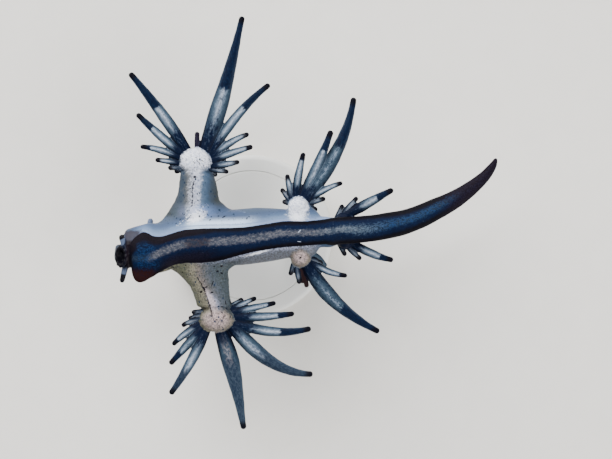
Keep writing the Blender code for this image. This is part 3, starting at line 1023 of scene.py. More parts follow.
@dataclass
class Chart:
    """Smooth maps over the skin's points, which shape it and which its finish reads."""

    points: np.ndarray
    maps: dict[str, np.ndarray] = field(default_factory=dict)

    def draw(self) -> None:
        """Works out every map."""
        self.draw_body()
        self.draw_fans()
        self.draw_arms()
        self.draw_head()

    def draw_body(self) -> None:
        """Maps of the body and its foot."""
        x, y, z = self.points.T
        centre = BODY.centre(x)
        side = BODY.side(x)
        half_width = np.maximum(BODY.line.at(x, HALF_WIDTH), BODY.least)
        half_height = np.maximum(BODY.line.at(x, HALF_HEIGHT), BODY.least)
        aside = np.einsum("ij,ij->i", self.points - centre, side)
        self.maps["x"], self.maps["y"] = x, y
        self.maps["level"] = (z - centre[:, 2]) / half_height
        self.maps["flank"] = aside / half_width
        right, left = FOOT.margins(x)
        start, end = FOOT.edges.first, FOOT.edges.last
        tail = ease(x, end - FOOT.map_before, end + FOOT.map_past)
        in_plan = np.minimum(y - right, left - y)
        in_plan = np.minimum(in_plan, x - start + FOOT.front_margin)
        on_tail = half_width - np.abs(aside)
        self.maps["brim"] = in_plan * (1 - tail) + on_tail * tail
        in_plan = in_plan * (1 - tail) + (on_tail + FOOT.tail_margin) * 2 * tail
        under = FOOT.top(x, y) - FOOT.thickness * FOOT.skin_share
        tail_under = centre[:, 2] - FOOT.tail_under * half_height
        depth = z - (under * (1 - tail) + tail_under * tail)
        self.maps["sole"] = np.clip(np.minimum(in_plan, depth), -1.5, 1.5)
        self.maps["stripe"] = (y - STRIPE.at(x)) * side[:, 1]

    def draw_fans(self) -> None:
        """Maps of the knobs and their cerata."""
        count = len(self.points)
        names = "along across upper length from to dull pale tint number".split()
        found = {name: np.zeros(count) for name in names}
        nearest, knob, disc = np.full((3, count), FAR)
        nearest += KNOB_FIRST
        blush, bare = np.zeros((2, count))
        spokes = np.zeros((count, 2))
        number = 0
        for limb in LIMBS:
            apart = (self.points - limb.middle) / limb.knob_radii
            mine = np.linalg.norm(apart, axis=1)
            closer = mine < knob
            knob = np.where(closer, mine, knob)
            radial = np.linalg.norm(apart[:, :2], axis=1)
            disc = np.where(closer, radial if limb.pale_knob else NO_DISC, disc)
            spokes[closer] = unit(apart[closer, :2])
            if not limb.pale_knob:
                bare = np.maximum(bare, ease(mine, *BARE_EDGE))
            blush = np.where(closer, limb.blush, blush)
            for ceras in limb.cerata:
                number += 1
                finger = limb.bend(ceras)
                index = finger.near(self.points, CERAS_MARGIN)
                share, _, own = finger.measure(self.points[index])
                away = np.linalg.norm(own, axis=1)
                better = away < nearest[index]
                index = index[better]
                nearest[index] = away[better]
                for name, value in (
                    ("along", share[better]),
                    ("across", own[better, 0]),
                    ("upper", own[better, 1]),
                    ("length", finger.length),
                    ("from", ceras.silver[0]),
                    ("to", ceras.silver[1]),
                    ("dull", ceras.dull),
                    ("pale", ceras.pale),
                    ("tint", ceras.tint.value),
                    ("number", number),
                ):
                    found[name][index] = value
        self.maps.update({f"ceras_{name}": value for name, value in found.items()})
        on_ceras = np.minimum(knob - nearest, CERAS_EDGE - nearest)
        self.maps["ceras"] = np.clip(on_ceras, -1, 1)
        self.maps["disc"] = np.clip(disc, 0, NO_DISC)
        self.maps["blush"] = blush
        self.maps["bare"] = bare
        self.maps["spoke_x"], self.maps["spoke_y"] = spokes.T

    def draw_arms(self) -> None:
        """Maps of the two front arms and the dark line down each."""
        x, y, _ = self.points.T
        arm, apart = np.zeros((2, len(x)))
        vein = np.full(len(x), FAR)
        for limb in LIMBS[:2]:
            rows, way = limb.rows()
            spot = np.clip(y * way, rows.first, rows.last)
            low, high, _ = (rows.at(spot, column) for column in STALK)
            middle, half = (low + high) / 2, (high - low) / 2
            mine = ease(y * way - rows.first, *ARM_START)
            mine = mine * ease(np.abs(x - middle) - half, *ARM_EDGE)
            arm = np.maximum(arm, mine)
            points = sorted((vein_y * way, vein_x) for vein_x, vein_y in limb.vein)
            line = Curves(tuple(points))
            past = x - line.at(y * way)
            apart = np.where(mine > 0, past, apart)
            inside = (y * way > line.first) & (y * way < line.last)
            vein = np.where(inside, past, vein)
        self.maps["arm"] = arm
        self.maps["arm_line"] = np.clip(apart, -4, 4)
        self.maps["vein"] = np.clip(vein, -2, 2)

    def draw_head(self) -> None:
        """Maps of the mouth and the head's feelers."""
        local = MOUTH.local(self.points)
        self.maps["mouth"] = np.clip(np.hypot(local[:, 0], local[:, 1]), 0, 6)
        self.maps["mouth_turn"] = np.arctan2(local[:, 1], local[:, 0])
        self.maps["mouth_rise"] = np.clip(local[:, 2], -6, 6)
        feeler = np.zeros(len(self.points))
        tip = np.full(len(self.points), -1.0)
        for one in FEELERS:
            finger = one.lay()
            index = finger.near(self.points, FEELER_MARGIN)
            share, _, own = finger.measure(self.points[index])
            away = np.linalg.norm(own, axis=1)
            near = ease(away, *FEELER_EDGE) * ease(share, *FEELER_START)
            feeler[index] = np.maximum(feeler[index], near)
            tip[index] = np.where(near > 0.5, share - one.dark_from, tip[index])
        self.maps["feeler"] = feeler
        self.maps["feeler_tip"] = tip

    def save(self, mesh: bpy.types.Mesh) -> None:
        """Writes every map into a mesh as an attribute of its points.

        Args:
            mesh: The mesh.
        """
        for name, values in self.maps.items():
            layer = mesh.attributes.new(name, "FLOAT", "POINT")
            layer.data.foreach_set("value", values.astype(np.float32))


def hump(value: np.ndarray, middle: float, width: float) -> np.ndarray:
    """Rises to 1 at the middle value and falls off over a width on both sides."""
    return np.exp(-(((value - middle) / width) ** 2))


def ripples(points: np.ndarray, scale: Triple, seed: float) -> np.ndarray:
    """Smooth noise between about -1 and 1.

    Args:
        points: Where to read it.
        scale: Ripples in each millimetre along x, y and z.
        seed: Moves the pattern.

    Returns:
        The noise at each point.
    """
    spots = points * scale + seed
    return np.array([noise.noise(Vector(spot)) for spot in spots])


@dataclass(frozen=True)
class Skin:
    """The whole animal's flesh as one closed skin."""

    voxel: float = 0.1
    quick_voxel: float = 0.14
    smoothing: int = 3
    most_triangles: int = 190000
    core: float = 0.3
    thinnest: float = 0.05
    regain_from: float = 7.0
    regain_all: float = 8.5
    unevenness: float = 0.035
    margin: float = 0.10
    groove: float = 0.05
    sole_grain: float = 0.03
    knob_grain: float = 0.06
    arm_ripples: float = 0.05
    ceras_rings: float = 0.022
    lip: float = 0.05
    lip_folds: float = 0.035
    mouth_share: float = 0.8

    def build(self) -> bpy.types.Object:
        """Joins all forms under one skin, and shapes and dresses it.

        Returns:
            The skin.
        """
        forms = [BODY.build(), FOOT.build(), MOUTH.build()]
        forms += [one.lay().build() for one in FEELERS]
        for limb in LIMBS:
            forms += limb.build()
        skin = self.join(forms)
        self.remesh(skin)
        self.regain(skin)
        self.sculpt(skin)
        chart = Chart(self.points(skin))
        chart.draw()
        chart.save(skin.data)
        skin.data.transform(Matrix.Scale(MM, 4))
        skin.data.shade_smooth()
        skin.data.materials.clear()
        skin.data.materials.append(SkinFinish().build())
        return skin

    def join(self, forms: list[bpy.types.Object]) -> bpy.types.Object:
        """Puts forms into one object.

        Args:
            forms: The objects, which are removed.

        Returns:
            One object that holds all their shells.
        """
        bm = bmesh.new()
        for form in forms:
            bm.from_mesh(form.data)
            bpy.data.objects.remove(form)
        return new_object("slug_skin", bm)

    def settle(self, skin: bpy.types.Object) -> None:
        """Replaces the skin's mesh by the one that its modifiers make.

        Args:
            skin: The skin.
        """
        graph = bpy.context.evaluated_depsgraph_get()
        made = bpy.data.meshes.new_from_object(skin.evaluated_get(graph))
        skin.modifiers.clear()
        skin.data = made

    def remesh(self, skin: bpy.types.Object) -> None:
        """Draws one even skin over all the shells, smooths it and thins it out.

        Args:
            skin: The shells in one object, which becomes the skin.
        """
        remesh = skin.modifiers.new("Remesh", "REMESH")
        remesh.mode = "VOXEL"
        remesh.voxel_size = self.voxel
        self.settle(skin)
        bm = bmesh.new()
        bm.from_mesh(skin.data)
        for _ in range(self.smoothing):
            bmesh.ops.smooth_vert(
                bm,
                verts=bm.verts,
                factor=0.5,
                use_axis_x=True,
                use_axis_y=True,
                use_axis_z=True,
            )
        bm.to_mesh(skin.data)
        bm.free()
        triangles = sum(len(face.vertices) - 2 for face in skin.data.polygons)
        log.info("skin: %d triangles before thinning", triangles)
        if triangles > self.most_triangles:
            thin = skin.modifiers.new("Thin", "DECIMATE")
            thin.ratio = self.most_triangles / triangles
            thin.use_collapse_triangulate = True
            self.settle(skin)

    @staticmethod
    def points(skin: bpy.types.Object) -> np.ndarray:
        """The skin's points.

        Args:
            skin: The skin.

        Returns:
            A row for each point.
        """
        points = np.zeros(len(skin.data.vertices) * 3)
        skin.data.vertices.foreach_get("co", points)
        return points.reshape(-1, 3)

    @staticmethod
    def move(skin: bpy.types.Object, points: np.ndarray) -> None:
        """Moves the skin's points."""
        skin.data.vertices.foreach_set("co", points.ravel())
        skin.data.update()

    def regain(self, skin: bpy.types.Object) -> None:
        """Gives back the girth that smoothing takes from fingers and the tail's end.

        Args:
            skin: The skin.
        """
        points = self.points(skin)
        moved = points.copy()
        fingers = [one.lay() for one in FEELERS]
        fingers += [limb.bend(ceras) for limb in LIMBS for ceras in limb.cerata]
        closest = np.ones(len(points))
        for finger in fingers:
            index = finger.near(points, 0.0)
            _, foot, own = finger.measure(points[index])
            away = np.linalg.norm(own, axis=1)
            shrunk = (away > self.core) & (away < closest[index])
            index, foot, away = index[shrunk], foot[shrunk], away[shrunk]
            closest[index] = away
            moved[index] = foot + (points[index] - foot) / away[:, None]
        x = points[:, 0]
        centre, side = BODY.centre(x), BODY.side(x)
        aside = np.einsum("ij,ij->i", points - centre, side)
        lift = points[:, 2] - centre[:, 2]
        girth = rounded(BODY.line.last - x, BODY.tail_cap)
        wide = np.maximum(BODY.line.at(x, HALF_WIDTH) * girth, self.thinnest)
        high = np.maximum(BODY.line.at(x, HALF_HEIGHT) * girth, self.thinnest)
        away = np.hypot(aside / wide, lift / high)
        tail = ease(x, self.regain_from, self.regain_all)
        tail = tail * (away > self.core) * (away < 1)
        grow = 1 + tail * (1 / np.maximum(away, self.core) - 1)
        offset = side * aside[:, None] + UP * lift[:, None]
        moved += offset * (grow - 1)[:, None]
        self.move(skin, moved)

    def sculpt(self, skin: bpy.types.Object) -> None:
        """Raises and sinks the skin's fine forms.

        Args:
            skin: The skin.
        """
        points = self.points(skin)
        normals = np.zeros(len(points) * 3)
        skin.data.vertex_normals.foreach_get("vector", normals)
        normals = normals.reshape(-1, 3)
        chart = Chart(points)
        chart.draw()
        maps = chart.maps
        x, sole, mouth = points[:, 0], maps["sole"], maps["mouth"]
        on_ceras = ease(maps["ceras"], -0.05, 0.15)
        bulk = 1 - on_ceras
        rise = self.unevenness * bulk * ripples(points, (0.55, 0.8, 0.8), 3.0)
        rise += self.margin * hump(sole, -0.16, 0.12) * ease(x, 4.0, 1.0)
        groove = hump(maps["stripe"], 0.0, 0.4) * ease(sole, 0.1, 0.4)
        rise -= self.groove * groove * ease(x, 8.0, 3.0)
        grain = ripples(points, (1.6, 0.5, 0.5), 9.0)
        rise += self.sole_grain * grain * ease(sole, 0.0, 0.3)
        on_disc = ease(maps["ceras"], 0.05, -0.15) * ease(maps["disc"], 1.25, 0.9)
        rise += self.knob_grain * on_disc * ripples(points, (3.2, 3.2, 3.2), 5.0)
        arm = maps["arm"] * ease(sole, 0.0, -0.3) * bulk
        rise += self.arm_ripples * arm * ripples(points, (0.7, 2.6, 1.0), 11.0)
        along = maps["ceras_along"] * maps["ceras_length"]
        layer = maps["ceras_upper"] + maps["ceras_number"] * 3.1
        rings = np.stack((along, maps["ceras_across"], layer), -1)
        rise += self.ceras_rings * on_ceras * ripples(rings, (1.5, 0.7, 0.7), 17.0)
        lips = hump(mouth, 1.1, 0.45) * ease(maps["mouth_rise"], -1.5, 0.0)
        folds = np.cos(maps["mouth_turn"] * MOUTH.folds)
        rise += lips * (self.lip + self.lip_folds * folds)
        inside = ease(mouth, 1.1, 0.3) * ease(maps["mouth_rise"], -2.0, -0.4)
        inward = -np.array(MOUTH.place.to_3x3().normalized().col[2])
        moved = points + normals * rise[:, None]
        moved += inward * (inside * MOUTH.depth * self.mouth_share)[:, None]
        self.move(skin, moved)


def srgb(red: int, green: int, blue: int) -> Colour:
    """A colour as the shader needs it, from its values as seen on a screen.

    Args:
        red: Its red, from 0 to 255.
        green: Its green.
        blue: Its blue.

    Returns:
        The colour.
    """

    def linear(value: int) -> float:
        """One channel in linear light.

        Args:
            value: The channel as seen on a screen.

        Returns:
            The channel from 0 to 1.
        """
        share = value / 255
        if share <= 0.04045:
            return share / 12.92
        return ((share + 0.055) / 1.055) ** 2.4

    return linear(red), linear(green), linear(blue)


# Marks are drawn round this height, and fade this far above and below it
MARK_HEIGHT = 12.8
MARK_DEPTH = 3.5
# A speck is full within this share of its radius, and its cell is picked this softly
SPECK_CORE = 0.6
SPECK_MARGIN = 0.02


@dataclass(frozen=True)
class Value:
    """A number or colour that a material works out at each point of its piece."""

    graph: "Graph"
    socket: bpy.types.NodeSocket

    def __add__(self, other: "Number") -> "Value":
        """The sum of two values."""
        return self.graph.sum("ADD", self, other)

    def __radd__(self, other: float) -> "Value":
        """The sum of a number and this value."""
        return self.graph.sum("ADD", other, self)

    def __sub__(self, other: "Number") -> "Value":
        """The difference of two values."""
        return self.graph.sum("SUBTRACT", self, other)

    def __rsub__(self, other: float) -> "Value":
        """The difference of a number and this value."""
        return self.graph.sum("SUBTRACT", other, self)

    def __mul__(self, other: "Number") -> "Value":
        """The product of two values."""
        return self.graph.sum("MULTIPLY", self, other)

    def __abs__(self) -> "Value":
        """The value without its sign."""
        return self.graph.sum("ABSOLUTE", self)

    def rise(self, low: "Number", high: "Number") -> "Value":
        """Rises smoothly from 0 to 1.

        Args:
            low: Value at which the result is 0.
            high: Value at which the result is 1; it may be the lower of the two.

        Returns:
            The rise.
        """
        fed = {"Value": self, "From Min": low, "From Max": high}
        made = self.graph.node("MapRange", fed, interpolation_type="SMOOTHSTEP")
        return Value(self.graph, made.outputs[0])

    def between(self, low: float, full: float, ebb: float, end: float) -> "Value":
        """Rises from 0 to 1 between the first two values, falls between the others."""
        return self.rise(low, full) * self.rise(end, ebb)


Number = Value | float
Shade = Value | Colour


class Graph:
    """The nodes of one material."""

    def __init__(self, name: str) -> None:
        """Starts a material.

        Args:
            name: The material's name.
        """
        self.material = bpy.data.materials.new(name)
        self.material.use_nodes = True
        self.tree = self.material.node_tree
        self.shader = self.tree.nodes["Principled BSDF"]
        self.place = self.node("TexCoord").outputs["Object"]

    def node(
        self, kind: str, fed: dict[str | int, object] | None = None, **settings: object
    ) -> bpy.types.Node:
        """Adds a node.

        Args:
            kind: Blender's name of the node, without ShaderNode.
            fed: What its inputs get, by their names or numbers.
            **settings: The node's own settings.

        Returns:
            The node.
        """
        made = self.tree.nodes.new("ShaderNode" + kind)
        for name, setting in settings.items():
            setattr(made, name, setting)
        self.feed(made, fed or {})
        return made

    def feed(self, node: bpy.types.Node, fed: dict[str | int, object]) -> None:
        """Links or sets a node's inputs.

        Args:
            node: The node.
            fed: What its inputs get, by their names or numbers.
        """
        for name, given in fed.items():
            socket = node.inputs[name]
            source = given.socket if isinstance(given, Value) else given
            if isinstance(source, bpy.types.NodeSocket):
                self.tree.links.new(socket, source)
            elif socket.type == "RGBA":
                socket.default_value = (*source, 1)
            else:
                socket.default_value = source

    def paint(self, fed: dict[str | int, object]) -> None:
        """Links or sets the shader's own inputs, given by their names."""
        self.feed(self.shader, fed)

    def roughen(self, relief: Value, strength: float, height: float) -> None:
        """Gives the surface a fine relief.

        Args:
            relief: The relief, from 0 to 1.
            strength: How strongly it shades.
            height: Its height in millimetres.
        """
        fed = {"Strength": strength, "Distance": height * MM, "Height": relief}
        self.paint({"Normal": self.node("Bump", fed).outputs[0]})

    def sum(self, operation: str, *values: Number) -> Value:
        """Works out a sum.

        Args:
            operation: Blender's name of it.
            *values: What it takes.

        Returns:
            Its result.
        """
        made = self.node("Math", dict(enumerate(values)), operation=operation)
        return Value(self, made.outputs[0])

    def most(self, a: Number, b: Number) -> Value:
        """The larger of two values."""
        return self.sum("MAXIMUM", a, b)

    def map(self, name: str) -> Value:
        """One of the skin's maps."""
        return Value(self, self.node("Attribute", attribute_name=name).outputs["Fac"])

    def spot(self, stretch: Triple = (1, 1, 1)) -> Value:
        """The point's place on the piece.

        Args:
            stretch: How much each axis is stretched.

        Returns:
            The place in millimetres.
        """
        fed = {"Vector": self.place, "Scale": tuple(s / MM for s in stretch)}
        return Value(self, self.node("Mapping", fed).outputs[0])

    def ramp(self, value: Value, *stops: tuple[float, Colour]) -> Value:
        """Colours that follow one another as a value grows.

        Args:
            value: The value.
            *stops: Values, each above the last, with their colours.

        Returns:
            The colour.
        """
        (low, first), *between, (high, last) = stops
        fed = {"Value": value, "From Min": low, "From Max": high}
        share = self.node("MapRange", fed).outputs[0]
        made = self.node("ValToRGB", {0: share})
        places = made.color_ramp.elements
        places[0].color, places[1].color = (*first, 1), (*last, 1)
        for at, colour in between:
            places.new((at - low) / (high - low)).color = (*colour, 1)
        return Value(self, made.outputs[0])

    def marks(self, marks: tuple["Mark", ...]) -> Number:
        """Draws some marks, each of which fades out at twice its own size.

        Args:
            marks: The marks.

        Returns:
            1 in the middle of each mark, 0.5 on its rim and 0 outside.
        """
        most: Number = 0.0
        for mark in marks:
            fed = {
                "Vector": self.place,
                "Location": (mark.x * MM, mark.y * MM, MARK_HEIGHT * MM),
                "Rotation": (0, 0, math.radians(mark.turn)),
                "Scale": (mark.length * 2 * MM, mark.breadth * 2 * MM, MARK_DEPTH * MM),
            }
            place = self.node("Mapping", fed, vector_type="TEXTURE").outputs[0]
            ball = self.node("TexGradient", {0: place}, gradient_type="SPHERICAL")
            most = self.most(Value(self, ball.outputs["Fac"]), most)
        return most

    def vector(self, *values: Number) -> Value:
        """Three values as one vector."""
        made = self.node("CombineXYZ", dict(enumerate(values)))
        return Value(self, made.outputs[0])

    def clouds(
        self, place: Value, scale: float, detail: float = 2.0, rough: float = 0.5
    ) -> Value:
        """Soft noise from 0 to 1 with its middle at 0.5.

        Args:
            place: Where to read it.
            scale: Clouds in each unit of place.
            detail: Layers of finer noise.
            rough: Strength of the finer layers.

        Returns:
            The noise.
        """
        fed = {"Vector": place, "Scale": scale, "Detail": detail, "Roughness": rough}
        return Value(self, self.node("TexNoise", fed).outputs["Fac"])

    def specks(self, place: Value, scale: float, size: float, share: float) -> Value:
        """Round specks in some of the cells of a random net.

        Args:
            place: Where to read them.
            scale: Cells in each unit of place.
            size: Radius of a speck as a share of a cell.
            share: Share of the cells that hold one.

        Returns:
            1 in a speck and 0 between them.
        """
        made = self.node("TexVoronoi", {"Vector": place, "Scale": scale})
        near = Value(self, made.outputs["Distance"]).rise(size, size * SPECK_CORE)
        tone = self.node("SeparateColor", {0: made.outputs["Color"]}).outputs[0]
        return near * Value(self, tone).rise(1 - share, 1 - share + SPECK_MARGIN)

    def mix(self, share: Number, a: Shade, b: Shade) -> Value:
        """Mixes two colours.

        Args:
            share: 0 for the first colour, 1 for the second.
            a: The first colour.
            b: The second colour.

        Returns:
            The mixed colour.
        """
        made = self.node("Mix", {0: share, 6: a, 7: b}, data_type="RGBA")
        return Value(self, made.outputs[2])

    def blend(self, share: Number, a: Number, b: Number) -> Value:
        """Mixes two values as mix does colours."""
        made = self.node("Mix", {0: share, 2: a, 3: b}, data_type="FLOAT")
        return Value(self, made.outputs[0])


@dataclass(frozen=True)
class Mark:
    """A mark on the upper side: its middle, half its length and breadth, its turn."""

    x: float
    y: float
    length: float
    breadth: float
    turn: float = 0.0


# Dark spots and strokes on the arms, knobs and flanks
DARK_MARKS = (
    Mark(-10.90, 4.57, 0.17, 0.14),
    Mark(-11.35, 3.40, 0.13, 0.05, 30),
    Mark(-10.65, 2.90, 0.09, 0.06, 80),
    Mark(-10.60, 2.25, 0.09, 0.06, -60),
    Mark(-11.65, 1.20, 0.10, 0.05, 20),
    Mark(-10.45, 1.20, 0.07, 0.06),
    Mark(-10.05, 1.10, 0.09, 0.05, 40),
    Mark(-9.35, 0.30, 0.12, 0.06, 25),
    Mark(-11.95, 0.85, 0.14, 0.04, 42),
    Mark(-12.35, 0.35, 0.12, 0.04, 38),
    Mark(-11.60, 0.35, 0.10, 0.04, 50),
    Mark(-12.75, -0.05, 0.11, 0.04, 35),
    Mark(-11.30, 0.75, 0.09, 0.04, 30),
    Mark(-8.00, 0.60, 0.20, 0.06, 30),
    Mark(-5.70, 0.45, 0.13, 0.06, 80),
    Mark(-10.95, 6.00, 0.18, 0.04, -60),
    Mark(-10.65, 6.15, 0.16, 0.04, -50),
    Mark(-10.42, 5.90, 0.18, 0.04, -72),
    Mark(-10.15, 6.18, 0.14, 0.04, -30),
    Mark(-10.75, 6.52, 0.11, 0.03, 12),
    Mark(-13.10, -4.40, 0.17, 0.07, -10),
    Mark(-11.80, -4.20, 0.09, 0.05, 15),
    Mark(-12.15, -4.90, 0.09, 0.05, -20),
    Mark(-11.35, -5.05, 0.08, 0.05, -50),
    Mark(-10.28, -6.85, 0.15, 0.11, 20),
    Mark(-10.00, -6.50, 0.26, 0.10, -52),
    Mark(-9.78, -6.38, 0.15, 0.05, 32),
    Mark(-9.15, -6.05, 0.30, 0.05, 68),
    Mark(-9.20, -6.90, 0.14, 0.08, -5),
    Mark(-8.90, -7.75, 0.09, 0.07),
    Mark(-9.95, -5.75, 0.14, 0.04, 60),
    Mark(-8.95, -4.30, 0.11, 0.06, 15),
    Mark(-8.25, -4.30, 0.15, 0.09, 20),
    Mark(-8.65, -4.80, 0.14, 0.08, 10),
    Mark(-8.25, -5.00, 0.15, 0.09, -25),
    Mark(-6.15, -4.15, 0.20, 0.06, 5),
    Mark(-8.25, -8.35, 0.13, 0.05),
    Mark(-7.85, -7.95, 0.22, 0.05, 95),
    Mark(-7.80, -8.50, 0.11, 0.06, 20),
    Mark(-7.40, -7.90, 0.24, 0.06, 102),
    Mark(-8.22, -8.92, 0.13, 0.04, -40),
    Mark(-8.00, -9.32, 0.09, 0.05, 70),
    Mark(-8.75, -9.60, 0.12, 0.05, 10),
    Mark(-9.30, -9.20, 0.15, 0.04, -62),
    Mark(-0.40, -3.45, 0.11, 0.08, 30),
)
# Painted highlights: white patches and a white streak on the flesh, and painted glints
# on the sole
HIGHLIGHT_MARKS = (
    Mark(-10.70, 0.55, 0.80, 0.42, 30),
    Mark(-0.65, 0.80, 0.75, 0.80),
    Mark(-4.70, -3.00, 0.95, 0.09, 15),
)
SOLE_GLINTS = (Mark(-0.50, -0.82, 0.24, 0.06, 45), Mark(-0.52, -1.85, 0.22, 0.04, -8))


def grey(share: float) -> Colour:
    """A grey that stands for a share in a ramp."""
    return share, share, share


class SkinGraph(Graph):
    """The skin's nodes, with the two noises that all its parts share."""

    def __init__(self) -> None:
        """Starts the material and its noises.

        `ragged` roughens every edge. `spokes` runs out from the middle of each knob.
        """
        super().__init__("wet_skin")
        self.ragged = self.clouds(self.spot(), 3.2, 3.0, 0.6) - 0.5
        way = (self.map("spoke_x"), self.map("spoke_y"), self.map("disc") * 0.25)
        self.spokes = self.clouds(self.vector(*way), 5.5, 3.0, 0.65) - 0.5


@dataclass(frozen=True)
class SkinFinish:
    """The wet skin: silver flanks, dark blue sole, and streaked cerata."""

    pearl: Colour = srgb(226, 229, 238)
    lilac: Colour = srgb(132, 138, 160)
    mist: Colour = srgb(63, 78, 104)
    haze: Colour = srgb(90, 110, 140)
    highlight_ice: Colour = srgb(188, 208, 232)
    steel: Colour = srgb(52, 62, 74)
    arm_edge_shade: Colour = srgb(52, 57, 60)
    teal: Colour = srgb(56, 72, 92)
    ash: Colour = srgb(72, 74, 76)
    moss: Colour = srgb(62, 64, 54)
    cream: Colour = srgb(116, 111, 96)
    fawn: Colour = srgb(98, 88, 86)
    rose: Colour = srgb(164, 146, 144)
    bloom: Colour = srgb(178, 166, 172)
    gleam: Colour = srgb(160, 170, 186)
    silver: Colour = srgb(108, 122, 140)
    dusk: Colour = srgb(62, 76, 90)
    dim: Colour = srgb(38, 52, 66)
    navy: Colour = srgb(8, 15, 34)
    ocean: Colour = srgb(12, 28, 50)
    azure: Colour = srgb(20, 45, 79)
    sea: Colour = srgb(33, 46, 62)
    ink: Colour = srgb(9, 8, 15)
    wine: Colour = srgb(18, 11, 19)
    maroon: Colour = srgb(32, 14, 14)
    umber: Colour = srgb(44, 30, 29)
    plum: Colour = srgb(27, 22, 36)
    chestnut: Colour = srgb(38, 24, 22)
    stripe: Colour = srgb(92, 92, 98)
    mauve: Colour = srgb(46, 44, 54)

    def build(self) -> bpy.types.Material:
        """Makes the material.

        Returns:
            The material.
        """
        g = SkinGraph()
        colour = self.flesh(g)
        in_sole = (g.map("sole") + g.ragged * 0.1).rise(-0.05, 0.0)
        colour = g.mix(in_sole, colour, self.sole(g))
        colour = self.head(g, colour)
        on_ceras = (g.map("ceras") + g.spokes * 0.3).rise(-0.02, 0.06)
        fingers, shine = self.cerata(g)
        grain = g.clouds(g.spot(), 9.0, 3.0, 0.6)
        damp = g.blend(in_sole, 0.08, 0.0)
        g.paint(
            {
                "Base Color": g.mix(on_ceras, colour, fingers),
                "Metallic": on_ceras * shine * 0.15,
                "Roughness": grain * 0.3 + g.blend(in_sole, 0.25, 0.36),
                "Coat Weight": g.blend(on_ceras, damp, shine * 0.3),
                "Specular IOR Level": 0.03,
                "Coat Roughness": 0.2,
            }
        )
        g.roughen(grain, strength=0.5, height=0.05)
        return g.material

    def flesh(self, g: SkinGraph) -> Value:
        """Colour of all but the sole and the cerata.

        Args:
            g: The material's nodes.

        Returns:
            The colour.
        """
        granules = g.clouds(g.spot(), 5.5, 3.0, 0.7)
        grit = granules.rise(0.36, 0.6)
        colour = self.flanks(g, grit)
        colour = self.arms(g, colour, grit)
        colour = self.gleams(g, colour, granules)
        colour = self.knobs(g, colour, grit)
        return self.dots(g, colour, granules)

    def flanks(self, g: SkinGraph, grit: Value) -> Value:
        """Colour of the flanks and of the side that faces the ground.

        Args:
            g: The material's nodes.
            grit: Fine granules.

        Returns:
            The colour.
        """
        x, flank, level = g.map("x"), g.map("flank"), g.map("level")
        out = g.map("sole") + g.ragged * 0.16
        # The left flank, from the ground up to the sole's margin; its darker tones away
        # from the margin are partly painted shade
        left = g.ramp(
            out,
            (-1.5, srgb(67, 80, 99)),
            (-1.0, self.mist),
            (-0.7, srgb(66, 86, 116)),
            (-0.4, self.haze),
            (0.0, srgb(118, 137, 172)),
        )
        # Painted highlight: a pale band along the flank just under the sole's margin,
        # where light falls
        highlight_span = x.between(-12.4, -10.6, -6.6, -4.0) * 0.88 + 0.06
        lit = g.ramp(
            out,
            (-1.2, grey(0.0)),
            (-0.9, grey(0.35)),
            (-0.62, grey(0.95)),
            (-0.44, grey(1.0)),
            (-0.34, grey(0.25)),
            (-0.22, grey(0.7)),
            (0.0, grey(0.9)),
        )
        left = g.mix(highlight_span * lit, left, self.highlight_ice)
        # The speckled right flank
        right = g.mix(grit, self.ash, self.lilac)
        right = g.mix(out.rise(-0.1, -0.6) * 0.75, right, self.ash)
        right = g.mix(x.rise(-9.5, -12.5), right, g.mix(grit, self.moss, self.cream))
        right = g.mix(x.rise(0.6, 2.0), right, self.teal)
        colour = g.mix(flank.rise(0.0, -0.2), left, right)
        soft = g.clouds(g.spot(), 0.9, 2.0).rise(0.35, 0.7)
        back = g.mix(soft, self.silver, self.dusk)
        return g.mix(level.rise(0.3, -0.3) * 0.75, colour, back)

    def gleams(self, g: SkinGraph, colour: Value, granules: Value) -> Value:
        """Lays the back's dark lines and the painted white highlights over the flesh.

        Args:
            g: The material's nodes.
            colour: The colour so far.
            granules: Fine noise.

        Returns:
            The colour.
        """
        x, y, flank = g.map("x"), g.map("y"), g.map("flank")
        lines = abs(abs(flank) - 0.5).rise(0.2, 0.1) * g.map("level").rise(-0.1, -0.45)
        lines = lines * (1.0 - g.map("arm"))
        colour = g.mix(lines * 0.8, colour, self.ocean)
        # Painted highlights: the marks and a granular sheen by the left arm's root are
        # pearl white painted where light falls
        white = g.marks(HIGHLIGHT_MARKS) + g.ragged * 0.7 + (granules - 0.5) * 0.9
        sheen = abs(x + y * -1.3 + 12.2).rise(0.7, 0.1)
        sheen = sheen * y.between(-0.7, 0.0, 1.2, 2.2)
        white = white + sheen * granules.rise(0.46, 0.62) * 0.42
        return g.mix(white.rise(0.15, 0.85) * 0.95, colour, self.pearl)

    def knobs(self, g: SkinGraph, colour: Value, grit: Value) -> Value:
        """Lays the knobs' own colours over the flesh: white, rosy, or bare and dark.

        Args:
            g: The material's nodes.
            colour: The colour so far.
            grit: Fine granules.

        Returns:
            The colour.
        """
        rim = g.map("disc") + g.spokes * 0.4
        blush = g.map("blush")
        inward = g.map("spoke_y") * (blush * 2.0 - 1.0)
        inner = 0.9 - inward.rise(0.2, 0.9) * 0.4
        disc = (rim + g.ragged * 0.5).rise(1.1, inner)
        white = g.mix(grit, srgb(168, 174, 196), self.pearl)
        ruddy = g.mix(rim.rise(1.0, 0.4), self.cream, self.rose)
        ruddy = g.mix(grit, self.fawn, ruddy)
        ruddy = g.mix(g.spokes.rise(0.02, 0.16) * 0.45, ruddy, self.ash)
        colour = g.mix(disc, colour, g.mix(blush, white, ruddy))
        return g.mix(g.map("bare"), colour, self.navy)

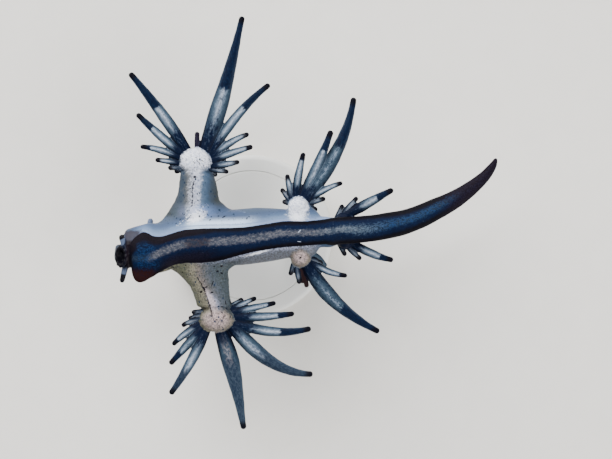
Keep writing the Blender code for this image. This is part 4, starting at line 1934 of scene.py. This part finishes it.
    def dots(self, g: SkinGraph, colour: Value, granules: Value) -> Value:
        """Lays the arms' dark lines, the pepper and the dark marks over the flesh.

        Args:
            g: The material's nodes.
            colour: The colour so far.
            granules: Fine noise.

        Returns:
            The colour.
        """
        line = abs(g.map("vein") + g.ragged * 0.22)
        line = line.rise(0.1, 0.03) * granules.rise(0.62, 0.54)
        colour = g.mix(line * 0.95, colour, self.ink)
        pepper = g.specks(g.spot((1.0, 0.75, 1.0)), 2.6, 0.3, 0.34)
        dust = g.specks(g.spot((1.4, 0.8, 1.0)), 4.2, 0.34, 0.34)
        pepper = g.most(pepper, dust * 0.8) * (0.22 + g.map("arm") * 0.78)
        colour = g.mix(pepper * g.map("y").rise(7.5, 6.5), colour, self.sea)
        dark = g.marks(DARK_MARKS) + g.ragged * 0.45
        return g.mix(dark.rise(0.38, 0.62) * 0.95, colour, self.ink)

    def arms(self, g: SkinGraph, colour: Value, grit: Value) -> Value:
        """Lays the colours of the two front arms over the rest of the flesh.

        Args:
            g: The material's nodes.
            colour: The colour so far.
            grit: Fine granules.

        Returns:
            The colour with the arms' own on it.
        """
        y = g.map("y")
        line = g.map("arm_line") + g.ragged * 0.8
        # Across each arm: its own colours, with the tones at both sides darkened partly
        # as painted shade where the arm turns away
        left = g.ramp(
            line,
            (-2.3, self.arm_edge_shade),
            (-1.1, self.steel),
            (-0.6, self.ash),
            (-0.2, srgb(96, 101, 114)),
            (0.15, srgb(124, 128, 146)),
            (0.5, srgb(124, 132, 154)),
            (0.9, srgb(76, 92, 112)),
            (1.4, self.teal),
            (1.8, self.steel),
            (2.3, self.arm_edge_shade),
        )
        foot = g.ramp(
            line,
            (-2.4, self.arm_edge_shade),
            (-1.6, srgb(64, 74, 84)),
            (-1.0, srgb(84, 92, 112)),
            (-0.4, srgb(118, 130, 150)),
            (0.2, srgb(170, 178, 206)),
            (0.8, srgb(128, 150, 196)),
            (1.4, srgb(92, 114, 154)),
            (2.6, self.mist),
        )
        left = g.mix(y.rise(2.2, 1.0), left, foot)
        peak = line.between(-0.8, -0.2, 0.6, 1.0)
        left = g.mix(peak * grit * 0.35, left, self.pearl)
        right = g.ramp(
            line,
            (-2.4, srgb(88, 88, 74)),
            (-1.2, srgb(84, 85, 70)),
            (-0.6, srgb(108, 104, 90)),
            (-0.25, self.cream),
            (0.2, srgb(104, 96, 92)),
            (0.8, srgb(82, 83, 86)),
            (1.3, srgb(72, 78, 88)),
            (2.0, srgb(62, 70, 76)),
        )
        right = g.mix((1.0 - grit) * 0.7, right, srgb(46, 50, 48))
        blaze = (y + line).rise(-5.9, -7.1) * line.rise(-0.08, 0.14)
        blaze = blaze * line.rise(1.3, 0.55)
        white = g.mix(line.rise(0.3, 0.9), self.bloom, self.lilac)
        right = g.mix(blaze * (0.6 + grit * 0.4), right, white)
        foot = y.between(-1.2, -0.8, 0.3, 0.9)
        arm = g.map("arm") * (1.0 - foot)
        return g.mix(arm, colour, g.mix(y.rise(-1.4, -1.2), right, left))

    def sole(self, g: SkinGraph) -> Value:
        """Colour of the foot and the upper side of the tail.

        Args:
            g: The material's nodes.

        Returns:
            The colour.
        """
        x, y = g.map("x"), g.map("y")
        brim = g.map("brim") + g.ragged * 0.3
        stripe = g.map("stripe")
        dapple = g.clouds(g.spot((0.7, 1.3, 1.0)), 6.5, 3.0, 0.7)
        fine = g.clouds(g.spot(), 9.5, 2.0, 0.6)
        apart = abs(stripe + g.ragged * 0.7)
        blue = g.ramp(
            apart,
            (0.15, self.sea),
            (0.48, srgb(9, 24, 50)),
            (0.95, srgb(8, 19, 42)),
            (1.4, self.navy),
        )
        blue = g.mix(fine.rise(0.6, 0.42) * 0.7, blue, self.navy)

        shifted = x + g.ragged * 1.2
        front = shifted.rise(-14.0, -15.3) * x.rise(-16.9, -16.4)
        front = front * (y + g.ragged).rise(-5.0, -4.3)
        front = front * (y + g.ragged).rise(-1.6, -2.5)
        bright = front * dapple.rise(0.44, 0.62)
        blue = g.mix(bright * 0.9, blue, self.azure)
        wide = stripe.rise(0.2, 1.0) * x.rise(-8.5, -11.5)
        edge = g.blend(x.rise(5.0, 11.0), 0.28, 0.5) + wide * 0.6
        dark = g.mix(wide * fine.rise(0.4, 0.62), self.ink, self.wine)
        inner = brim.rise(edge * 0.6, edge + 0.25)
        colour = g.mix(inner, dark, blue)
        shade = shifted.between(-14.6, -13.4, -10.4, -8.0)
        shade = shade * (stripe + g.ragged * 0.8).rise(-0.45, -1.25)
        dusky = g.mix(fine.rise(0.38, 0.62), self.ink, self.plum)
        colour = g.mix(shade * 0.75, colour, dusky)
        corner = x.rise(-14.4, -15.4) * (y + g.ragged).rise(-4.3, -4.9)
        colour = g.mix(corner * fine.rise(0.2, 0.5), colour, self.maroon)

        reach = shifted.rise(-15.9, -14.6) * x.rise(7.5, 4.5)
        half = g.blend(x.rise(-5.5, -1.5), 0.56, 0.44)
        core = apart.rise(half, half * 0.3) * reach
        gaps = g.clouds(g.spot((0.8, 1.5, 1.0)), 2.6, 3.0, 0.6).rise(0.4, 0.54)
        fleck_and_glint = dapple.rise(0.36, 0.64) * gaps
        band = core * (0.24 + fleck_and_glint * 0.7)
        tinge = shifted.between(-12.2, -11.3, -9.9, -8.8)
        tinged = g.mix(tinge * 0.85, self.stripe, self.umber)
        silvery = g.mix(x.rise(0.5, 3.0), tinged, srgb(92, 100, 110))
        colour = g.mix(band, colour, silvery)
        far = x.between(3.0, 6.0, 14.0, 16.5)
        haze = apart.rise(g.blend(x.rise(5.0, 11.0), 0.75, 0.55), 0.1)
        glint = haze * far * dapple.rise(0.44, 0.6)
        light = g.mix(x.rise(9.0, 5.0), srgb(25, 51, 86), srgb(76, 92, 108))
        colour = g.mix(glint * 0.9, colour, light)
        star = g.specks(g.spot(), 3.8, 0.22, 0.22) * apart.rise(1.5, 0.8)
        colour = g.mix(star * inner * 0.6, colour, self.steel)
        end = (x + g.ragged * 3.0).rise(12.6, 16.0)
        violet = g.mix(fine.rise(0.44, 0.62), self.wine, self.plum)
        colour = g.mix(end * 0.9, colour, violet)
        # Painted glints: two small pale reflections of light on the sole
        fleck_and_glint = g.marks(SOLE_GLINTS).rise(0.45, 0.65)
        return g.mix(fleck_and_glint * 0.9, colour, self.gleam)

    def cerata(self, g: SkinGraph) -> tuple[Value, Value]:
        """Colour of the cerata and how silvery they are.

        Args:
            g: The material's nodes.

        Returns:
            The colour, and the share of silver.
        """
        along, upper = g.map("ceras_along"), g.map("ceras_upper")
        across = g.map("ceras_across")
        tint, pale = g.map("ceras_tint"), g.map("ceras_pale")
        wide = abs(across)
        run = along * g.map("ceras_length")
        left = g.map("ceras_length") - run
        layer = upper * 0.4 + g.map("ceras_number") * 3.7
        place = g.vector(run * 0.55, across * 0.9, layer)
        streaks = g.clouds(place, 3.2, 3.0, 0.6) - 0.5
        fine = g.clouds(g.vector(run * 0.8, across, layer), 3.8, 3.0, 0.75)
        start, stop = g.map("ceras_from"), g.map("ceras_to")

        deep = g.mix(fine.rise(0.4, 0.66), self.navy, self.ocean)
        light = g.mix(fine.rise(0.38, 0.62), srgb(28, 40, 56), self.steel)
        past = along.rise(stop - 0.05, stop + 0.05)
        colour = g.mix(pale * past, deep, light)
        # Painted light: the thin edges of each finger are lighter where light shows
        # through the flesh
        edge = (wide + streaks * 0.5).rise(0.5, 0.95)
        edge = edge * run.rise(1.0, 2.4)
        colour = g.mix(edge * 0.35, colour, self.dusk)
        below = upper.rise(-0.2, -0.7)
        colour = g.mix(below * past * 0.8, colour, self.silver)

        # The silver streak: the finger's own silver, partly painted light; it is drawn
        # only on the upper side, brightest in the middle, and darkens to navy at the
        # sides as painted shade
        begun = along + streaks * 0.35
        begun = begun.rise(start - 0.07, start + 0.07)
        ended = along + streaks * 0.1
        soft = pale * 0.09
        ended = ended.rise(stop + 0.015 + soft, stop - 0.02 - soft)
        reach = begun * ended * upper.rise(0.0, 0.35)
        full = along.rise(start, start * 0.4 + stop * 0.6)
        dull = (1.0 - full) * 0.16 + g.map("ceras_dull")
        spread = wide + streaks * 0.5 + dull
        band = g.ramp(
            spread,
            (0.05, self.gleam),
            (0.34, self.silver),
            (0.62, self.dusk),
            (0.92, self.dim),
            (1.25, self.navy),
        )
        rosy = tint.rise(-0.1, -0.9) * wide.rise(0.6, 0.2)
        band = g.mix(rosy * 0.6, band, self.fawn)
        rough = 0.45 + g.map("ceras_dull") * 1.7
        band = g.mix(fine.rise(0.56, 0.42) * rough, band, self.dim)
        colour = g.mix(reach, colour, band)
        silver = reach * spread.rise(0.5, 0.2)
        root = along.rise(start + 0.1, 0.0) * upper.rise(0.0, 0.5)
        root = root * wide.rise(0.9, 0.3) * fine.rise(0.56, 0.68)
        colour = g.mix(root * 0.7, colour, self.silver)
        pits = g.specks(g.vector(run, across * 0.5, layer), 3.6, 0.4, 0.4)
        pits = pits * silver * (0.45 + g.map("ceras_dull") * 1.5)
        colour = g.mix(pits, colour, self.navy)
        roots = run.rise(2.2, 0.8)
        colour = g.mix(roots * 0.75, colour, self.navy)
        # Painted shade: dark seams along the sides near the root, where neighbouring
        # cerata crowd together
        seam = wide.rise(0.55, 0.95) * run.rise(3.4, 1.8)
        colour = g.mix(seam * 0.8, colour, self.ink)
        flat = pale.rise(0.9, 0.99)
        colour = g.mix(flat, colour, g.mix(wide.rise(0.9, 0.2), self.dim, self.dusk))
        tip = (left + streaks * 0.5).rise(1.05, 0.45)
        tip = tip * (1.0 - flat)
        colour = g.mix(tip * 0.95, colour, self.ink)
        colour = g.mix(tint.rise(0.1, 0.5) * 0.8, colour, self.plum)
        colour = g.mix(tint.rise(0.5, 1.0) * 0.8, colour, self.chestnut)
        return colour, silver

    def head(self, g: SkinGraph, colour: Value) -> Value:
        """Lays the mouth's, the cheek's and the feelers' colours over the rest.

        Args:
            g: The material's nodes.
            colour: The colour so far.

        Returns:
            The colour with the head's own on it.
        """
        x, y = g.map("x"), g.map("y")
        level = g.map("level")
        not_sole = g.map("sole").rise(0.03, -0.03)
        cheek = (x + g.ragged).rise(-15.8, -16.5) * y.rise(-2.0, -1.8)
        cheek = cheek * (y + g.ragged * 0.4).rise(-0.58, -0.9)
        cheek = cheek * not_sole * level.rise(-0.75, -0.05)
        colour = g.mix(cheek * 0.95, colour, self.mauve)
        throat = x.rise(-16.9, -17.1) * y.rise(-1.6, -1.9)
        throat = throat * not_sole * level.rise(-0.4, 0.1)
        colour = g.mix(throat, colour, self.wine)
        fold = abs(x + 17.28 + g.ragged * 0.2)
        fold = fold.rise(0.1, 0.03) * y.rise(-2.4, -3.0)
        colour = g.mix(fold * throat * 0.7, colour, self.mauve)
        mouth = g.map("mouth") + g.ragged * 0.5
        lips = mouth.rise(2.4, 2.0) * level.rise(0.2, 0.6)
        lips = lips * x.rise(-17.6, -17.9)
        lip = g.mix(mouth.rise(1.1, 1.5), self.ink, self.navy)
        # Painted highlight: a lighter rim on the front of the lip
        rim = mouth.rise(1.5, 1.9) * x.rise(-18.0, -18.5)
        lip = g.mix(rim * 0.8, lip, self.dusk)
        colour = g.mix(lips, colour, lip)
        colour = g.mix(mouth.rise(1.3, 0.9), colour, self.ink)
        upper = g.most(level.rise(0.15, 0.55), x.rise(-17.0, -16.6))
        feeler = g.map("feeler") * upper
        colour = g.mix(feeler * 0.9, colour, srgb(80, 92, 116))
        return g.mix(g.map("feeler_tip").rise(-0.05, 0.04), colour, self.ink)


@dataclass(frozen=True)
class Satin:
    """A satin lacquer with a faint peel in its gloss."""

    name: str
    colour: Colour
    shade: Colour
    roughness: float = 0.35
    peel: float = 0.14

    def build(self) -> bpy.types.Material:
        """Makes the material.

        Returns:
            The material.
        """
        g = Graph(self.name)
        cloud = g.clouds(g.spot(), 0.35, 3.0)
        peel = g.clouds(g.spot(), 2.6, 2.0)
        rough = peel * self.peel + (self.roughness - self.peel / 2)
        g.paint(
            {"Base Color": g.mix(cloud, self.colour, self.shade), "Roughness": rough}
        )
        g.roughen(peel, strength=0.15, height=0.03)
        return g.material


@dataclass(frozen=True)
class Brushed:
    """Steel brushed round a rod."""

    name: str
    colour: Colour
    depth: float = 0.8

    def build(self) -> bpy.types.Material:
        """Makes the material.

        Returns:
            The material.
        """
        g = Graph(self.name)
        lines = g.clouds(g.spot((0.4, 0.4, 9.0)), 2.0, 3.0, 0.7)
        dark = tuple(c * self.depth for c in self.colour)
        g.paint(
            {
                "Base Color": g.mix(lines, self.colour, dark),
                "Roughness": lines * 0.25 + 0.18,
                "Metallic": 1.0,
            }
        )
        g.roughen(lines, strength=0.2, height=0.02)
        return g.material


def bevel(
    bm: bmesh.types.BMesh,
    edges: list[bmesh.types.BMEdge],
    offset: float,
    segments: int,
) -> None:
    """Rounds edges.

    Args:
        bm: The bmesh that holds them.
        edges: The edges.
        offset: How far the rounding reaches.
        segments: Faces across it.
    """
    bmesh.ops.bevel(
        bm,
        geom=edges,
        offset=offset,
        segments=segments,
        profile=0.5,
        affect="EDGES",
        material=-1,
    )


@dataclass(frozen=True)
class Disc:
    """An upright cylinder: its radius, its middle's x and y, its bottom and its top."""

    radius: float
    middle: tuple[float, float]
    bottom: float
    top: float

    def add(self, bm: bmesh.types.BMesh, segments: int) -> list[bmesh.types.BMVert]:
        """Adds the cylinder to a bmesh.

        Args:
            bm: The bmesh.
            segments: Sides.

        Returns:
            Its points.
        """
        spot = Matrix.Translation((*self.middle, (self.bottom + self.top) / 2))
        made = bmesh.ops.create_cone(
            bm,
            cap_ends=True,
            segments=segments,
            radius1=self.radius,
            radius2=self.radius,
            depth=self.top - self.bottom,
            matrix=spot,
        )
        return made["verts"]


# Faces of the stand count as its top from this much of a normal, and edges as sharp
FACING_UP = 0.9
SHARP_DEGREES = 35


@dataclass(frozen=True)
class Stand:
    """A round base and two rods that reach up to the body."""

    bevel: float = 0.5
    bevel_faces: int = 5
    groove_in: float = 1.1
    groove_depth: float = 0.12
    groove_width: float = 0.16
    base_sides: int = 160
    rod_sides: int = 48
    rod_bevel: float = 0.12
    rod_bevel_faces: int = 3
    collar_radius: float = 1.0
    collar_height: float = 0.45
    sunk: float = 0.5
    into_body: float = 0.75
    hair: float = 0.01

    @staticmethod
    def read(node: str) -> Disc:
        """Reads one of the frame's upright cylinders.

        Args:
            node: Its name.

        Returns:
            Its measures in millimetres.
        """
        low, high = (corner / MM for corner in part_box(node))
        middle = (low + high) / 2
        return Disc((high - low).x / 2, (middle.x, middle.y), low.z, high.z)

    @staticmethod
    def dress(
        bm: bmesh.types.BMesh, name: str, material: bpy.types.Material
    ) -> bpy.types.Object:
        """Makes a piece of the stand from its bmesh.

        Args:
            bm: The bmesh, in millimetres.
            name: The piece's name.
            material: Its material.

        Returns:
            The piece.
        """
        bm.transform(Matrix.Scale(MM, 4))
        piece = new_object(name, bm)
        piece.data.shade_smooth()
        piece.data.set_sharp_from_angle(angle=math.radians(SHARP_DEGREES))
        piece.data.materials.append(material)
        return piece

    def build_base(self) -> bpy.types.Object:
        """Makes the base with a bevelled rim and a fine groove round its top.

        Returns:
            The base.
        """
        bm = bmesh.new()
        self.read("stand_base").add(bm, self.base_sides)
        upper = [face for face in bm.faces if face.normal.z > FACING_UP]
        bevel(bm, list(upper[0].edges), self.bevel, self.bevel_faces)
        top = [max(bm.faces, key=lambda face: face.calc_area() * face.normal.z)]
        for inset, sink in (
            (self.groove_in, 0.0),
            (self.groove_width / 2, -self.groove_depth),
            (self.groove_width / 2, self.groove_depth),
        ):
            bmesh.ops.inset_region(bm, faces=top, thickness=inset, use_even_offset=True)
            bmesh.ops.translate(bm, vec=(0, 0, sink), verts=list(top[0].verts))
        lacquer = Satin("base_lacquer", srgb(222, 222, 218), srgb(212, 212, 209))
        return self.dress(bm, "display_base", lacquer.build())

    def build_rod(self, node: str, name: str) -> bpy.types.Object:
        """Makes a rod with a collar at its foot, from the base into the body.

        Args:
            node: The frame's rod.
            name: The new piece's name.

        Returns:
            The rod.
        """
        rod, floor = self.read(node), self.read("stand_base").top
        low = floor - self.sunk
        bm = bmesh.new()
        for part in (
            Disc(rod.radius, rod.middle, low, rod.top + self.into_body),
            Disc(self.collar_radius, rod.middle, low, floor + self.collar_height),
        ):
            points, top = part.add(bm, self.rod_sides), part.top - self.hair
            ring = {edge for vert in points for edge in vert.link_edges}
            upper = [e for e in ring if all(v.co.z > top for v in e.verts)]
            bevel(bm, upper, self.rod_bevel, self.rod_bevel_faces)
        return self.dress(bm, name, Brushed("rod_steel", srgb(170, 172, 176)).build())


@dataclass(frozen=True)
class Studio:
    """The pale floor, soft lights and the camera over the animal's middle."""

    pixel: float = 0.1
    width: int = 612
    lens: float = 100.0
    distance: float = 170.0
    centre: tuple[float, float] = (0.15, -0.65)
    floor_half: float = 3.0
    nearest: float = 0.01

    def build_floor(self) -> bpy.types.Object:
        """Makes the floor.

        Returns:
            The floor.
        """
        bm = bmesh.new()
        bmesh.ops.create_grid(bm, x_segments=1, y_segments=1, size=self.floor_half)
        floor = new_object("studio_floor", bm)
        floor.data.materials.append(
            Satin("floor_paper", srgb(226, 223, 217), srgb(220, 217, 211), 0.8).build()
        )
        return floor

    def build_camera(self) -> None:
        """Makes the camera, which looks straight down as the photograph does."""
        data = bpy.data.cameras.new("camera")
        data.lens = self.lens
        data.sensor_width = self.pixel * self.width * self.lens / self.distance
        data.clip_start = self.nearest
        camera = bpy.data.objects.new("camera", data)
        camera.location = (
            self.centre[0] * MM,
            self.centre[1] * MM,
            (BODY_HEIGHT + self.distance) * MM,
        )
        bpy.context.scene.collection.objects.link(camera)
        bpy.context.scene.camera = camera

    def build_light(self, name: str, place: Triple, size: float, power: float) -> None:
        """Makes a square soft light that faces the animal.

        Args:
            name: The light's name.
            place: Where it hangs, in metres.
            size: Its side, in metres.
            power: Its power in watts.
        """
        data = bpy.data.lights.new(name, "AREA")
        data.size = size
        data.energy = power
        light = bpy.data.objects.new(name, data)
        light.location = place
        aim = Vector((0, 0, BODY_HEIGHT * MM)) - Vector(place)
        light.rotation_euler = aim.to_track_quat("-Z", "Y").to_euler()
        bpy.context.scene.collection.objects.link(light)

    def build_sky(self) -> None:
        """Makes a dome that is pale near the floor and dark overhead."""
        world = bpy.data.worlds.new("studio")
        world.use_nodes = True
        nodes, links = world.node_tree.nodes, world.node_tree.links
        way = nodes.new("ShaderNodeTexCoord")
        parts = nodes.new("ShaderNodeSeparateXYZ")
        links.new(parts.inputs[0], way.outputs["Generated"])
        fade = nodes.new("ShaderNodeMapRange")
        fade.interpolation_type = "SMOOTHSTEP"
        links.new(fade.inputs["Value"], parts.outputs[2])
        for name, value in (
            ("From Min", 0.05),
            ("From Max", 0.6),
            ("To Min", 0.7),
            ("To Max", 0.08),
        ):
            fade.inputs[name].default_value = value
        sky = nodes["Background"]
        sky.inputs["Color"].default_value = (*srgb(226, 230, 236), 1)
        links.new(sky.inputs["Strength"], fade.outputs[0])
        bpy.context.scene.world = world

    def build(self) -> None:
        """Makes the whole studio."""
        self.build_floor()
        self.build_light("key", (-0.18, 0.30, 0.28), 0.55, 7.6)
        self.build_light("fill", (0.30, -0.22, 0.26), 0.50, 3.6)
        self.build_sky()
        self.build_camera()


def main() -> None:
    """Builds every piece around the frame."""
    logging.basicConfig(level=logging.INFO, format="%(message)s")
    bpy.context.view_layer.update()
    flesh = [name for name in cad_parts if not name.startswith("stand_")]
    skin = Skin().build()
    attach(skin, "root")
    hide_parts(*flesh)
    log.info("skin: %d faces", len(skin.data.polygons))
    stand = Stand()
    base = stand.build_base()
    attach(base, "root")
    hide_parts("stand_base")
    log.info("base: %d faces", len(base.data.polygons))
    rods = {"stand_rod_front": "front_rod", "stand_rod_rear": "rear_rod"}
    for node, name in rods.items():
        rod = stand.build_rod(node, name)
        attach(rod, "root")
        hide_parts(node)
        log.info("%s: %d faces", name, len(rod.data.polygons))
    Studio().build()


if __name__ == "__main__":
    main()
